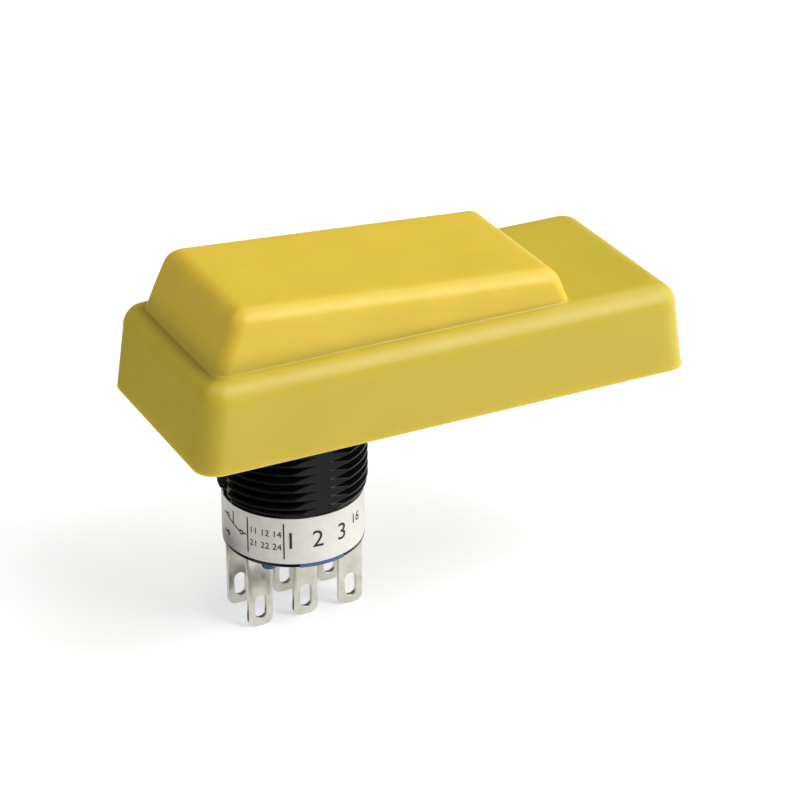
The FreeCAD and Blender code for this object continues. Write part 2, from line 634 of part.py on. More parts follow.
# Wipers: spring-bronze strips on both faces of the crossbar, each with three pressed dimples
columns = {"nc": "-1", "com": "0", "no": "1"}
rows = {"front": "-1", "back": "1"}
wipers = {}
for row, side in rows.items():
    wiper = new_body(f"wiper_{row}")
    middle = f"({side}) * (carriage_width + wiper_thickness) / 2"
    strip_outline = sketch(wiper, f"wiper_{row}_outline", "XZ_Plane", f"-({middle})")
    lower_edge, upper_edge = [], []
    for column in columns.values():
        lobe = f"({column}) * {NECK_PLACE}"
        left, right = f"{lobe} - wiper_lobe / 2", f"{lobe} + wiper_lobe / 2"
        for across, half in ((left, "wiper_bar / 2"), (left, "wiper_lobe / 2"),
                             (right, "wiper_lobe / 2"), (right, "wiper_bar / 2")):
            lower_edge.append((across, f"{WIPER_LEVEL} - {half}"))
            upper_edge.append((across, f"{WIPER_LEVEL} + {half}"))
    outline = lower_edge[1:-1] + upper_edge[-2:0:-1]
    draw_polygon(strip_outline, outline)
    extrude(wiper, f"wiper_{row}_strip", strip_outline, "wiper_thickness", both_ways=True)
    holes = sketch(wiper, f"wiper_{row}_circles", "XZ_Plane")
    for rivet_place in rivet_places:
        draw_circle(holes, rivet_place, WIPER_LEVEL, "rivet_diameter / 2")
    extrude(wiper, f"wiper_{row}_holes", holes, "3 * carriage_width", cut=True, both_ways=True)
    outwards = FreeCAD.Rotation(ACROSS, -90 * int(side))
    for name, column in columns.items():
        dimple = wiper.newObject("PartDesign::AdditiveCone", f"wiper_{row}_dimple_{name}")
        bind(dimple, "Radius1", "dimple_foot / 2")
        bind(dimple, "Radius2", "dimple_tip / 2")
        bind(dimple, "Height", f"{TIP_FACE} - contact_gap - {WIPER_FACE}")
        place(dimple, f"({column}) * {NECK_PLACE}", f"({side}) * {WIPER_FACE}", WIPER_LEVEL, outwards)
    wipers[row] = wiper

# Rivets: two through both wipers and the crossbar, with a head at each end
rivet_parts = []
for index, rivet_place in enumerate(rivet_places, start=1):
    reach = f"{WIPER_FACE} + rivet_head_height"
    shank = doc.addObject("Part::Cylinder", f"rivet_shank_{index}")
    bind(shank, "Radius", "rivet_diameter / 2")
    bind(shank, "Height", f"2 * ({reach})")
    place(shank, rivet_place, reach, WIPER_LEVEL, STAND_UP)
    heads = []
    for row, start in (("front", f"-{WIPER_FACE}"), ("back", reach)):
        head = doc.addObject("Part::Cylinder", f"rivet_head_{row}_{index}")
        bind(head, "Radius", "rivet_head / 2")
        bind(head, "Height", "rivet_head_height")
        place(head, rivet_place, start, WIPER_LEVEL, STAND_UP)
        heads.append(head)
    rivet = doc.addObject("Part::MultiFuse", f"rivet_{index}")
    rivet.Shapes = [shank] + heads
    rivet_parts.append(rivet)
wiper_rivets = doc.addObject("Part::Compound", "wiper_rivets")
wiper_rivets.Links = rivet_parts


def draw_blade_places(drawing, gap):
    """The six places where a blade's neck passes, with a gap all round."""
    half_width = f"(neck_width / 2 + {gap})"
    half_thickness = f"(tab_thickness / 2 + {gap})"
    for side in rows.values():
        across_row = f"({side}) * row_spacing / 2"
        for column in columns.values():
            middle = f"({column}) * {NECK_PLACE}"
            draw_rectangle(drawing, f"{middle} - {half_width}", f"{middle} + {half_width}",
                           f"{across_row} - {half_thickness}", f"{across_row} + {half_thickness}")


# Blade guide: a ring against the bore's step that steadies the blades' upper ends
blade_guide = new_body("blade_guide")
revolve(blade_guide, "guide_ring", [
    ("tail_diameter / 2 + tail_gap", GUIDE_BOTTOM),
    ("blade_bore / 2 - fit_gap", GUIDE_BOTTOM),
    ("blade_bore / 2 - fit_gap", "-guide_depth"),
    ("tail_diameter / 2 + tail_gap", "-guide_depth"),
])
blade_seats = sketch(blade_guide, "blade_seat_plan", "XY_Plane", GUIDE_BOTTOM)
draw_blade_places(blade_seats, "fit_gap")
extrude(blade_guide, "blade_seats", blade_seats, "blade_seat + fit_gap", cut=True, backwards=True)

# Terminal base: a plug that closes the barrel, with ears in the rim's notches and an index boss
terminal_base = new_body("terminal_base")
ear_disc = terminal_base.newObject("PartDesign::AdditiveCylinder", "ear_disc")
bind(ear_disc, "Radius", case_radius)
bind(ear_disc, "Height", "case_length - label_start - label_height - fit_gap")
place(ear_disc, "0", "0", "-case_length")
ear_trim = sketch(terminal_base, "ear_trim_plan", "XY_Plane", "-case_length")
ear_half = "notch_width / 2 - fit_gap"
for near, far in ((ear_half, "case_diameter"), ("-case_diameter", f"-({ear_half})")):
    draw_rectangle(ear_trim, near, far, "-case_diameter", "case_diameter")
extrude(terminal_base, "ears", ear_trim, "case_length - label_start", cut=True, backwards=True)
plug = terminal_base.newObject("PartDesign::AdditiveCylinder", "plug")
bind(plug, "Radius", "base_bore / 2 - fit_gap")
bind(plug, "Height", "base_thickness")
place(plug, "0", "0", "-case_length")
index_boss = sketch(terminal_base, "index_boss_circle", "XY_Plane", "-case_length - boss_height")
draw_circle(index_boss, "-boss_across", "-boss_forward", "boss_diameter / 2")
boss_feature = extrude(terminal_base, "index_boss", index_boss, "boss_height")
boss_level = value("-case_length - boss_height")
fillet(terminal_base, "index_boss_round", boss_feature,
       lambda edge: edge.BoundBox.ZMax < boss_level + NEARLY, "boss_diameter / 6")
blade_slots = sketch(terminal_base, "blade_slot_plan", "XY_Plane", "-case_length")
draw_blade_places(blade_slots, "fit_gap")
extrude(terminal_base, "blade_slots", blade_slots, "base_thickness", cut=True, backwards=True)

# Terminals: six stamped blades, each a slotted tab below the base and a narrow neck above it
TAB_TIP = "(-case_length - tab_length)"
NECK_TOP = f"({GUIDE_BOTTOM} + blade_seat)"


def at_tab_tip(edge):
    """True for the two edges through a tab's thickness at its free end."""
    extent = edge.BoundBox
    return extent.ZMax < value(TAB_TIP) + NEARLY and extent.XLength < NEARLY


terminals = {}
for row, side in rows.items():
    for name, column in columns.items():
        node = f"terminal_{name}_{row}"
        blade = new_body(node)
        depth = f"-({side}) * row_spacing / 2"
        tab_place = f"({column}) * tab_pitch"
        neck_place = f"({column}) * {NECK_PLACE}"
        tab_plan = sketch(blade, f"{node}_tab_plan", "XZ_Plane", depth)
        draw_rectangle(tab_plan, f"{tab_place} - tab_width / 2", f"{tab_place} + tab_width / 2",
                       TAB_TIP, "-case_length")
        extrude(blade, f"{node}_tab", tab_plan, "tab_thickness", both_ways=True)
        neck_plan = sketch(blade, f"{node}_neck_plan", "XZ_Plane", depth)
        draw_rectangle(neck_plan, f"{neck_place} - neck_width / 2", f"{neck_place} + neck_width / 2",
                       "-case_length - tab_thickness", NECK_TOP)
        neck = extrude(blade, f"{node}_neck", neck_plan, "tab_thickness", both_ways=True)
        fillet(blade, f"{node}_corners", neck, at_tab_tip, "tab_corner")
        slot_plan = sketch(blade, f"{node}_slot_plan", "XZ_Plane", depth)
        slot_low = f"({TAB_TIP} + slot_margin + slot_width / 2)"
        slot_high = f"({TAB_TIP} + slot_margin + slot_length - slot_width / 2)"
        draw_rectangle(slot_plan, f"{tab_place} - slot_width / 2", f"{tab_place} + slot_width / 2",
                       slot_low, slot_high)
        extrude(blade, f"{node}_slot", slot_plan, "2 * tab_thickness", cut=True, both_ways=True)
        for end, level in (("low", slot_low), ("high", slot_high)):
            end_plan = sketch(blade, f"{node}_slot_{end}_plan", "XZ_Plane", depth)
            draw_circle(end_plan, tab_place, level, "slot_width / 2")
            extrude(blade, f"{node}_slot_{end}", end_plan, "2 * tab_thickness", cut=True, both_ways=True)
        terminals[node] = blade


def contact_tip(name, column, side, level):
    """A round silver contact on the inner face of a blade."""
    tip = doc.addObject("Part::Cylinder", name)
    bind(tip, "Radius", "tip_diameter / 2")
    bind(tip, "Height", "tip_proud")
    outwards = FreeCAD.Rotation(ACROSS, -90 * int(side))
    place(tip, f"({column}) * {NECK_PLACE}", f"({side}) * {TIP_FACE}", level, outwards)
    return tip


# Fixed contacts: closed at rest and at full press on the outer blade, half-way on the other
nc_tips, no_tips, com_strips = [], [], []
for row, side in rows.items():
    nc_tips.append(contact_tip(f"nc_tip_high_{row}", columns["nc"], side, WIPER_LEVEL))
    nc_tips.append(contact_tip(f"nc_tip_low_{row}", columns["nc"], side, f"{WIPER_LEVEL} - {TRAVEL}"))
    no_tips.append(contact_tip(f"no_tip_{row}", columns["no"], side, f"{WIPER_LEVEL} - {TRAVEL} / 2"))
    com_strip = doc.addObject("Part::Box", f"com_strip_{row}")
    bind(com_strip, "Length", "tip_diameter")
    bind(com_strip, "Width", "tip_proud")
    bind(com_strip, "Height", f"{TRAVEL} + tip_diameter")
    strip_face = TIP_FACE if side == "1" else f"-{BLADE_FACE}"
    place(com_strip, "-tip_diameter / 2", strip_face, f"{WIPER_LEVEL} - {TRAVEL} - tip_diameter / 2")
    com_strips.append(com_strip)
contact_groups = {}
for node, members in (("nc_contact_tips", nc_tips), ("no_contact_tips", no_tips),
                      ("com_contact_strips", com_strips)):
    group = doc.addObject("Part::Compound", node)
    group.Links = members
    contact_groups[node] = group

doc.recompute()

# Every sub-part that is handed on, by the name of its node
sub_parts = [rubber_boot, operator_base, hinge_pin, lever, barrel_case, rating_label, guide_bush, plunger,
             plunger_cap, return_spring, overtravel_spring, contact_carriage, carriage_pin, wiper_rivets,
             blade_guide, terminal_base]
sub_parts += list(wipers.values()) + list(terminals.values()) + list(contact_groups.values())

failed = [item.Name for item in doc.Objects if {"Invalid", "Error"} & set(item.State)]
failed += [item.Name for item in sub_parts if item.Shape.isNull() or not item.Shape.isValid()]
if failed:
    raise RuntimeError(f"not built: {failed}")

os.makedirs("parts", exist_ok=True)
for item in sub_parts:
    item.Shape.exportStep(f"parts/{item.Label}.step")
    print(item.Label, len(item.Shape.Solids), round(item.Shape.Volume, 2))
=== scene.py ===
import math

import bmesh
import bpy
import numpy as np
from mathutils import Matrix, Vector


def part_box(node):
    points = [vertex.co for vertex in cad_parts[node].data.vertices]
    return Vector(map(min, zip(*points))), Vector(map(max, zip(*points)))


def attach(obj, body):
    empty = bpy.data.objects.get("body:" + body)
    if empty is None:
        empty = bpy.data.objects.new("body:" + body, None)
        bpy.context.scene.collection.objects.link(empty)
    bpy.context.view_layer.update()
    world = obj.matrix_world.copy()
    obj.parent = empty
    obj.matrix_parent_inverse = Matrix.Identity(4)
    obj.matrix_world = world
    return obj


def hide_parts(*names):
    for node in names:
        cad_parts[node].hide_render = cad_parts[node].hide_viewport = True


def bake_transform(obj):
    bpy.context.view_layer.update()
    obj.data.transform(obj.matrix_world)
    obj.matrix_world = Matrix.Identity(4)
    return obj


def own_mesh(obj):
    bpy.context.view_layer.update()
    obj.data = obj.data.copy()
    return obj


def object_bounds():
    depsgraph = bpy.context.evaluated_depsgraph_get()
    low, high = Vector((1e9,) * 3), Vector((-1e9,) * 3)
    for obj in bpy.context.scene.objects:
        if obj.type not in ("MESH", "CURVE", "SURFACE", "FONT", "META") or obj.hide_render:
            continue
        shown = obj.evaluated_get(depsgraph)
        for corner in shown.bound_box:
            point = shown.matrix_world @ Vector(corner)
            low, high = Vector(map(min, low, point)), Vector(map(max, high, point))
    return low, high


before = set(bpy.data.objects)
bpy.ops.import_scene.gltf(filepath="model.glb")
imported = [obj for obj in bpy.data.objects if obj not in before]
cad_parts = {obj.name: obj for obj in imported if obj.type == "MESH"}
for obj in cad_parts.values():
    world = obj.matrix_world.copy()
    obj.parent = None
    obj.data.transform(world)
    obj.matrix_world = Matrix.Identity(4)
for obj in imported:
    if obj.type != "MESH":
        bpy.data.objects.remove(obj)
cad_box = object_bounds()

# Terminal base: the blue plug that closes the barrel and holds the six blades. Injection-moulded
# glass-filled polyester with a fine satin skin; its two ears lie in the notches of the barrel's rim.
CLOUD_LIGHT = 0.08
CLOUD_SHEEN = 0.04
# Sizes are in mm, and Blender's are in metres
MM = 0.001


def linear(colour, gain=1.0):
    """Linear red, green, blue and alpha of an sRGB hex colour, made lighter or darker by a gain: a straight
    line near black and a power of 2.4 above it."""
    srgb = np.array([int(colour[place:place + 2], 16) for place in (1, 3, 5)]) / 255
    light = np.where(srgb <= 0.04045, srgb / 12.92, ((srgb + 0.055) / 1.055) ** 2.4)
    return (*np.clip(light * gain, 0, 1).tolist(), 1.0)


def add_node(tree, kind, settings=None, inputs=None):
    """Add a node, set its properties, and give each input a value or a link from another socket."""
    node = tree.nodes.new(kind)
    for name, setting in (settings or {}).items():
        setattr(node, name, setting)
    for name, source in (inputs or {}).items():
        if isinstance(source, bpy.types.NodeSocket):
            tree.links.new(source, node.inputs[name])
        else:
            node.inputs[name].default_value = source
    return node


def start_material(name, constants):
    """A new material with constants on its shader's own sockets, and the piece's object coordinates."""
    material = bpy.data.materials.new(name)
    material.use_nodes = True
    tree = material.node_tree
    shader = tree.nodes["Principled BSDF"]
    for socket, constant in constants.items():
        shader.inputs[socket].default_value = constant
    place = add_node(tree, "ShaderNodeTexCoord").outputs["Object"]
    return material, tree, shader, place


def noise(tree, place, size_mm, detail=2.0):
    """A cloud of values round 0.5 whose blobs are about the given size."""
    settings = {"Vector": place, "Scale": 1 / (size_mm * MM), "Detail": detail}
    return add_node(tree, "ShaderNodeTexNoise", None, settings).outputs["Fac"]


def spread(tree, factor, low, high):
    """Stretch the middle half of a noise over a range of values."""
    ends = {"Value": factor, "From Min": 0.25, "From Max": 0.75, "To Min": low, "To Max": high}
    return add_node(tree, "ShaderNodeMapRange", None, ends).outputs["Result"]


def tint(tree, factor, first, second):
    """The colour between two colours at a factor. A mix node's colours are its inputs 6 and 7."""
    mix = add_node(tree, "ShaderNodeMix", {"data_type": "RGBA"}, {0: factor, 6: first, 7: second})
    return mix.outputs[2]


def moulded_plastic(name, colour, roughness, cloud_mm, grain_mm, grain_depth_mm, specular=0.5):
    """Moulded plastic: a skin with faint flow clouds in its colour and sheen, and the fine grain of its
    tool, drawn coarser than the real few hundredths of a millimetre so that it shows."""
    material, tree, shader, place = start_material(name, {"IOR": 1.5, "Specular IOR Level": specular})
    cloud = noise(tree, place, cloud_mm)
    grain = noise(tree, place, grain_mm, detail=3.0)
    darker, lighter = linear(colour, 1 - CLOUD_LIGHT), linear(colour, 1 + CLOUD_LIGHT)
    tree.links.new(tint(tree, spread(tree, cloud, 0, 1), darker, lighter), shader.inputs["Base Color"])
    sheen = spread(tree, cloud, roughness - CLOUD_SHEEN, roughness + CLOUD_SHEEN)
    tree.links.new(sheen, shader.inputs["Roughness"])
    relief = {"Height": grain, "Distance": grain_depth_mm * MM, "Strength": 1.0}
    bump = add_node(tree, "ShaderNodeBump", None, relief)
    tree.links.new(bump.outputs["Normal"], shader.inputs["Normal"])
    return material


def dress(node, material):
    """Give a piece of the frame its finish."""
    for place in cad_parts[node].material_slots:
        place.material = material


# The blue polyester keeps a soft sheen, a little lighter where the flow front cooled
blue_polyester = moulded_plastic("blue_polyester", "#44598A", roughness=0.38, cloud_mm=2.5,
                                 grain_mm=0.12, grain_depth_mm=0.004)
dress("terminal_base", blue_polyester)

# Blade terminals: six tabs stamped from brass strip and nickel plated, pressed through the base.
# The punch leaves one face with rolled edges and a sharper burr edge behind; each tab has a wire slot.
TAB_LENGTH = 8.65
TAB_WIDTH = 2.8
TAB_CORNER = 0.9
TAB_SHOULDER = 0.1
SLOT_WIDTH = 1.3
SLOT_LENGTH = 2.75
SLOT_MARGIN = 0.95
NECK_WIDTH = 1.4
ROLLED_EDGE = 0.09
BURR_EDGE = 0.035
EDGE_STEPS = 4
TAB_SIDE_STEPS = 14
TAB_CORNER_STEPS = 7
MERGE_DISTANCE = 0.0005


def round_stations(long_steps, short_steps, corner_steps):
    """Once round a rounded rectangle: each point's corner, as signs along u and v, and its normal's angle.
    Along a side the sign runs evenly between corners; at a corner the angle turns through a quarter."""
    along = np.arange(long_steps) / long_steps * 2 - 1
    across = np.arange(short_steps) / short_steps * 2 - 1
    swing = np.arange(corner_steps) / corner_steps * math.pi / 2
    still_long, still_short, ones = np.zeros(long_steps), np.zeros(short_steps), np.ones(corner_steps)
    u = [along, ones, still_short + 1, ones, -along, -ones, still_short - 1, -ones]
    v = [still_long - 1, -ones, across, ones, still_long + 1, ones, -across, -ones]
    normal = [still_long, swing, still_short, swing, still_long, swing, still_short, swing]
    quarter = np.repeat(np.arange(4), 2) - 1
    angle = [part + turn * math.pi / 2 for part, turn in zip(normal, quarter)]
    return np.concatenate(u), np.concatenate(v), np.concatenate(angle)


def round_loop(stations, left, right, low, high, radius):
    """Points of rounded rectangles: each corner's centre, plus the radius along the normal."""
    u, v, angle = stations
    across = (left + right) / 2 + u * ((right - left) / 2 - radius) + radius * np.cos(angle)
    up = (low + high) / 2 + v * ((high - low) / 2 - radius) + radius * np.sin(angle)
    return across, up


def grid_piece(name, grids, rows_close=True, sharp_degrees=40, tone_and_painted_shade=None):
    """One object from grids of places in mm (rows, columns, 3): faces join neighbours, and a row closes on
    itself unless its ends already meet. Places that coincide are merged, which closes poles and seams."""
    places, faces, start = [], [], 0
    for grid in grids:
        rows, columns = grid.shape[:2]
        index = np.arange(rows * columns).reshape(rows, columns) + start
        beside = np.roll(index, -1, axis=1)
        quads = np.stack([index[:-1], beside[:-1], beside[1:], index[1:]], axis=-1)
        faces.append((quads if rows_close else quads[:, :-1]).reshape(-1, 4))
        places.append(grid.reshape(-1, 3) * MM)
        start += rows * columns
    mesh = bpy.data.meshes.new(name)
    mesh.from_pydata(np.concatenate(places).tolist(), [], np.concatenate(faces).tolist())
    # An optional tone per point is kept as an attribute; the boot's holds its backing and painted crease
    # shade
    if tone_and_painted_shade is not None:
        layer = mesh.attributes.new("tone_and_painted_shade", "FLOAT", "POINT")
        layer.data.foreach_set("value", tone_and_painted_shade.astype(np.float32).ravel())
    work = bmesh.new()
    work.from_mesh(mesh)
    bmesh.ops.remove_doubles(work, verts=work.verts, dist=MERGE_DISTANCE * MM)
    bmesh.ops.recalc_face_normals(work, faces=work.faces)
    work.to_mesh(mesh)
    work.free()
    mesh.shade_smooth()
    mesh.set_sharp_from_angle(angle=math.radians(sharp_degrees))
    piece = bpy.data.objects.new(name, mesh)
    bpy.context.scene.collection.objects.link(piece)
    return piece


def stamped_plate(stations, outer, hole, thickness):
    """A flat plate with rounded edges round a hole, as a profile carried round the outline: out over the
    front face, round the outer edge, back over the rear face and through the hole. A hole of no size closes
    as a pole."""
    swing = np.linspace(0, math.pi / 2, EDGE_STEPS)

    def plate_ring(outline, grow, depth):
        """An outline grown by a distance on all sides, at a depth of the plate."""
        left, right, low, high, radius = outline
        u, v = round_loop(stations, left - grow, right + grow, low - grow, high + grow,
                          np.maximum(radius + grow, 0.0))
        return np.stack([u, np.full_like(u, depth), v], axis=-1)

    rings = []
    for side, edge in ((-1, ROLLED_EDGE), (1, BURR_EDGE)):
        insets = edge * (1 - np.cos(swing))
        depths = side * (thickness / 2 - edge * (1 - np.sin(swing)))
        from_hole = [plate_ring(hole, inset, depth) for inset, depth in zip(insets, depths)]
        from_edge = [plate_ring(outer, -inset, depth) for inset, depth in zip(insets, depths)]
        face = from_hole + from_edge[::-1]
        rings += face if side < 0 else face[::-1]
    return np.stack(rings)


# Nickel plate over stamped brass: satin, with the strip's rolling lines and a warm grey cast. The lines are
# drawn wider than the real few hundredths of a millimetre so that they show
ROLLING_WIDTH = 0.1
ROLLING_LENGTH = 1.5
STAIN_SIZE = 1.6
ROLLING_DEPTH = 0.002
nickel, nickel_tree, nickel_shader, nickel_place = start_material("nickel_plated_brass", {"Metallic": 1.0})
squeeze = ROLLING_LENGTH / ROLLING_WIDTH
lined = {"Vector": nickel_place, "Scale": (squeeze, squeeze, 1.0)}
drawn_out = add_node(nickel_tree, "ShaderNodeMapping", None, lined).outputs["Vector"]
rolling = noise(nickel_tree, drawn_out, ROLLING_LENGTH, detail=3.0)
stain = noise(nickel_tree, nickel_place, STAIN_SIZE)
nickel_colours = tint(nickel_tree, spread(nickel_tree, stain, 0, 1), linear("#C4C1B5"), linear("#DBD9CF"))
nickel_tree.links.new(nickel_colours, nickel_shader.inputs["Base Color"])
nickel_tree.links.new(spread(nickel_tree, rolling, 0.26, 0.40), nickel_shader.inputs["Roughness"])
rolling_relief = {"Height": rolling, "Distance": ROLLING_DEPTH * MM, "Strength": 1.0}
rolling_bump = add_node(nickel_tree, "ShaderNodeBump", None, rolling_relief)
nickel_tree.links.new(rolling_bump.outputs["Normal"], nickel_shader.inputs["Normal"])

tab_stations = round_stations(TAB_SIDE_STEPS, TAB_SIDE_STEPS, TAB_CORNER_STEPS)
for row in ("front", "back"):
    for column in ("nc", "com", "no"):
        node = f"terminal_{column}_{row}"
        low, high = (np.array(corner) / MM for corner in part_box(node))
        middle, depth, thickness = (low[0] + high[0]) / 2, (low[1] + high[1]) / 2, high[1] - low[1]
        tip, shoulder = low[2], low[2] + TAB_LENGTH
        corner_radius = np.where(tab_stations[1] < 0, TAB_CORNER, TAB_SHOULDER)
        tab = (middle - TAB_WIDTH / 2, middle + TAB_WIDTH / 2, tip, shoulder, corner_radius)
        slot = (middle - SLOT_WIDTH / 2, middle + SLOT_WIDTH / 2, tip + SLOT_MARGIN,
                tip + SLOT_MARGIN + SLOT_LENGTH, SLOT_WIDTH / 2)
        slotted = stamped_plate(tab_stations, tab, slot, thickness)
        slotted = np.concatenate([slotted, slotted[:1]])
        # The outer blades' necks stand over the inner edges of their tabs
        neck_middle = middle - np.sign(round(middle)) * (TAB_WIDTH - NECK_WIDTH) / 2
        neck_level = (shoulder + high[2]) / 2
        neck = (neck_middle - NECK_WIDTH / 2, neck_middle + NECK_WIDTH / 2, shoulder, high[2], TAB_SHOULDER)
        pole = (neck_middle, neck_middle, neck_level, neck_level, 0.0)
        grids = [slotted, stamped_plate(tab_stations, neck, pole, thickness)]
        for grid in grids:
            grid[..., 1] += depth
        blade = grid_piece(f"blade_{column}_{row}", grids, sharp_degrees=60)
        blade.data.materials.append(nickel)
        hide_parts(node)
        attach(blade, "housing")

# Fixed contacts: silver-alloy studs and runners riveted to the inner faces of the blades.
# Their faces are coined, so they are brighter than the plating and lightly scuffed by the wipers.
SCUFF_DARK = 0.88
SCUFF_LIGHT = 1.06
SCUFF_SMOOTH = 0.06
SCUFF_ROUGH = 0.08


def bright_metal(name, colour, roughness, scuff_mm):
    """A bare metal with scuffs that change its roughness and a slight unevenness of colour."""
    material, tree, shader, place = start_material(name, {"Metallic": 1.0})
    scuffs = noise(tree, place, scuff_mm, detail=4.0)
    darker, lighter = linear(colour, SCUFF_DARK), linear(colour, SCUFF_LIGHT)
    tree.links.new(tint(tree, spread(tree, scuffs, 0, 1), darker, lighter), shader.inputs["Base Color"])
    shine = spread(tree, scuffs, roughness - SCUFF_SMOOTH, roughness + SCUFF_ROUGH)
    tree.links.new(shine, shader.inputs["Roughness"])
    return material


silver_alloy = bright_metal("silver_alloy", "#E2DFD6", roughness=0.22, scuff_mm=0.3)
for node in ("nc_contact_tips", "no_contact_tips", "com_contact_strips"):
    dress(node, silver_alloy)

# Contact carriage and blade guide: beige glass-filled polyester mouldings, dull from their filler.
# The guide steadies the blades' tops; the carriage slides between the two rows on the plunger's tail.
beige_polyester = moulded_plastic("beige_filled_polyester", "#CFC3A4", roughness=0.55, cloud_mm=1.8,
                                  grain_mm=0.1, grain_depth_mm=0.006)
for node in ("contact_carriage", "blade_guide"):
    dress(node, beige_polyester)

# Wipers: two strips of phosphor bronze with pressed dimples, one on each face of the carriage.
# Rolled strip, tempered, with the pink-gold of bare bronze.
phosphor_bronze = bright_metal("phosphor_bronze", "#C08A55", roughness=0.30, scuff_mm=0.5)
for node in ("wiper_front", "wiper_back"):
    dress(node, phosphor_bronze)

# Rivets, cross pin and hinge pin: ground steel, plain and bright.
# The rivets clamp the wipers, the cross pin locks the carriage, and the hinge pin carries the lever.
ground_steel = bright_metal("ground_steel", "#B9BBBC", roughness=0.25, scuff_mm=0.6)
for node in ("wiper_rivets", "carriage_pin", "hinge_pin"):
    dress(node, ground_steel)

# Plunger, cap and guide bush: natural acetal, milky white and slippery.
# Turned or moulded smooth, the bush pressed into the barrel's mouth and the cap onto the stem.
natural_acetal = moulded_plastic("natural_acetal", "#EDEBE2", roughness=0.35, cloud_mm=4.0,
                                 grain_mm=0.2, grain_depth_mm=0.002)
for node in ("plunger", "plunger_cap", "guide_bush"):
    dress(node, natural_acetal)

# Springs: cold-coiled stainless wire, the return spring under the cap and a lighter one below the flange,
# which the plunger meets late in its travel. Each ends in flat coils that sit on its seats.
SPRING_SECTION_STEPS = 12
SPRING_STEPS_PER_TURN = 40
SEAT_TURNS = 0.75
# Node, wire and climbing turns, and how far the plunger goes down before it meets the spring
SPRINGS = (
    ("return_spring", 0.7, 2.9, 0.0),
    ("overtravel_spring", 0.45, 1.6, 1.9),
)


def coil(foot, head, wire, outer_diameter, turns):
    """A round wire along a helix: flat coils at both ends, an even climb between them, and closed ends."""
    count = round((turns + 2 * SEAT_TURNS) * SPRING_STEPS_PER_TURN)
    turn = np.linspace(-SEAT_TURNS, turns + SEAT_TURNS, count)
    climb = np.clip(turn / turns, 0, 1) * (head - foot - wire * (1 + 2 * SEAT_TURNS))
    flat = np.clip(turn, -SEAT_TURNS, 0) + np.clip(turn - turns, 0, SEAT_TURNS)
    level = foot + wire / 2 + climb + (flat + SEAT_TURNS) * wire
    angle = turn * 2 * math.pi
    size = np.ones(count)
    size[[0, -1]] = 0
    section = np.linspace(0, 2 * math.pi, SPRING_SECTION_STEPS, endpoint=False)
    reach = (outer_diameter - wire) / 2 + wire / 2 * size[:, None] * np.cos(section)
    return np.stack([reach * np.cos(angle)[:, None], reach * np.sin(angle)[:, None],
                     level[:, None] + wire / 2 * size[:, None] * np.sin(section)], axis=-1)


# Drawn stainless wire: grey, with a die-drawn shine that varies along the coil
spring_wire = bright_metal("drawn_stainless_wire", "#A8A9A8", roughness=0.28, scuff_mm=0.4)
for node, wire, turns, free_travel in SPRINGS:
    low, high = (np.array(corner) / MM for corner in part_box(node))
    height = high[2] - low[2]
    spring = grid_piece(f"{node}_coil", [coil(low[2], high[2], wire, high[0] - low[0], turns)])
    spring.data.materials.append(spring_wire)
    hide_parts(node)
    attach(spring, "housing")
    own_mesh(spring)

# Barrel: glossy black polyester, moulded in a split tool, so smooth flats and strips interrupt its thread.
# Below the thread are a plain neck, the label's seat and a rim with two notches for the base's ears.
THREAD_RADIUS = 8.0
THREAD_PITCH = 1.0
THREAD_DEPTH = 0.62
THREAD_LENGTH = 9.85
THREAD_ROWS = 20
ROOT_SHARE = 0.10
FLANK_SHARE = 0.70
CREST_SOFTNESS = 0.12
RUN_OUT = 0.6
FLAT_DISTANCE = 7.38
FLAT_SOFTNESS = 0.02
STRIP_WIDTH = 1.28
STRIP_EDGE = 0.32
CASE_RADIUS = 7.6
LABEL_SEAT = 7.5
LABEL_START = 10.2
LABEL_HEIGHT = 5.4
NOTCH_WIDTH = 5.2
SPIGOT_RADIUS = 8.5
COLLAR_RADIUS = 10.0
COLLAR_THICKNESS = 1.1
COLLAR_FLAT = 9.51
RIM_EDGE = 0.12
MOUTH_RADIUS = 6.5
MOUTH_DEPTH = 1.8
BUSH_RADIUS = 4.35
BUSH_SEAT_DEPTH = 1.8
PLUNGER_BORE = 6.0
BLADE_BORE = 6.3
BASE_BORE = 6.85
GUIDE_DEPTH = 5.5
BASE_TOP = 13.65
NEAR_EDGE = 0.01
NEARLY_ZERO = 1e-6
ANGLE_DIGITS = 6
BARREL_STEPS = 300


def soft_step(low, high, number):
    """Rise from 0 to 1 between two numbers, with level ends: three squares of the share less two cubes."""
    share = np.clip((number - low) / (high - low), 0, 1)
    return share * share * (3 - 2 * share)


def soft_min(first, second, softness):
    """The smaller of two numbers, with a parabola as wide as the softness where they cross."""
    share = np.clip(0.5 + (first - second) / (2 * softness), 0, 1)
    return first * (1 - share) + second * share - softness * share * (1 - share)


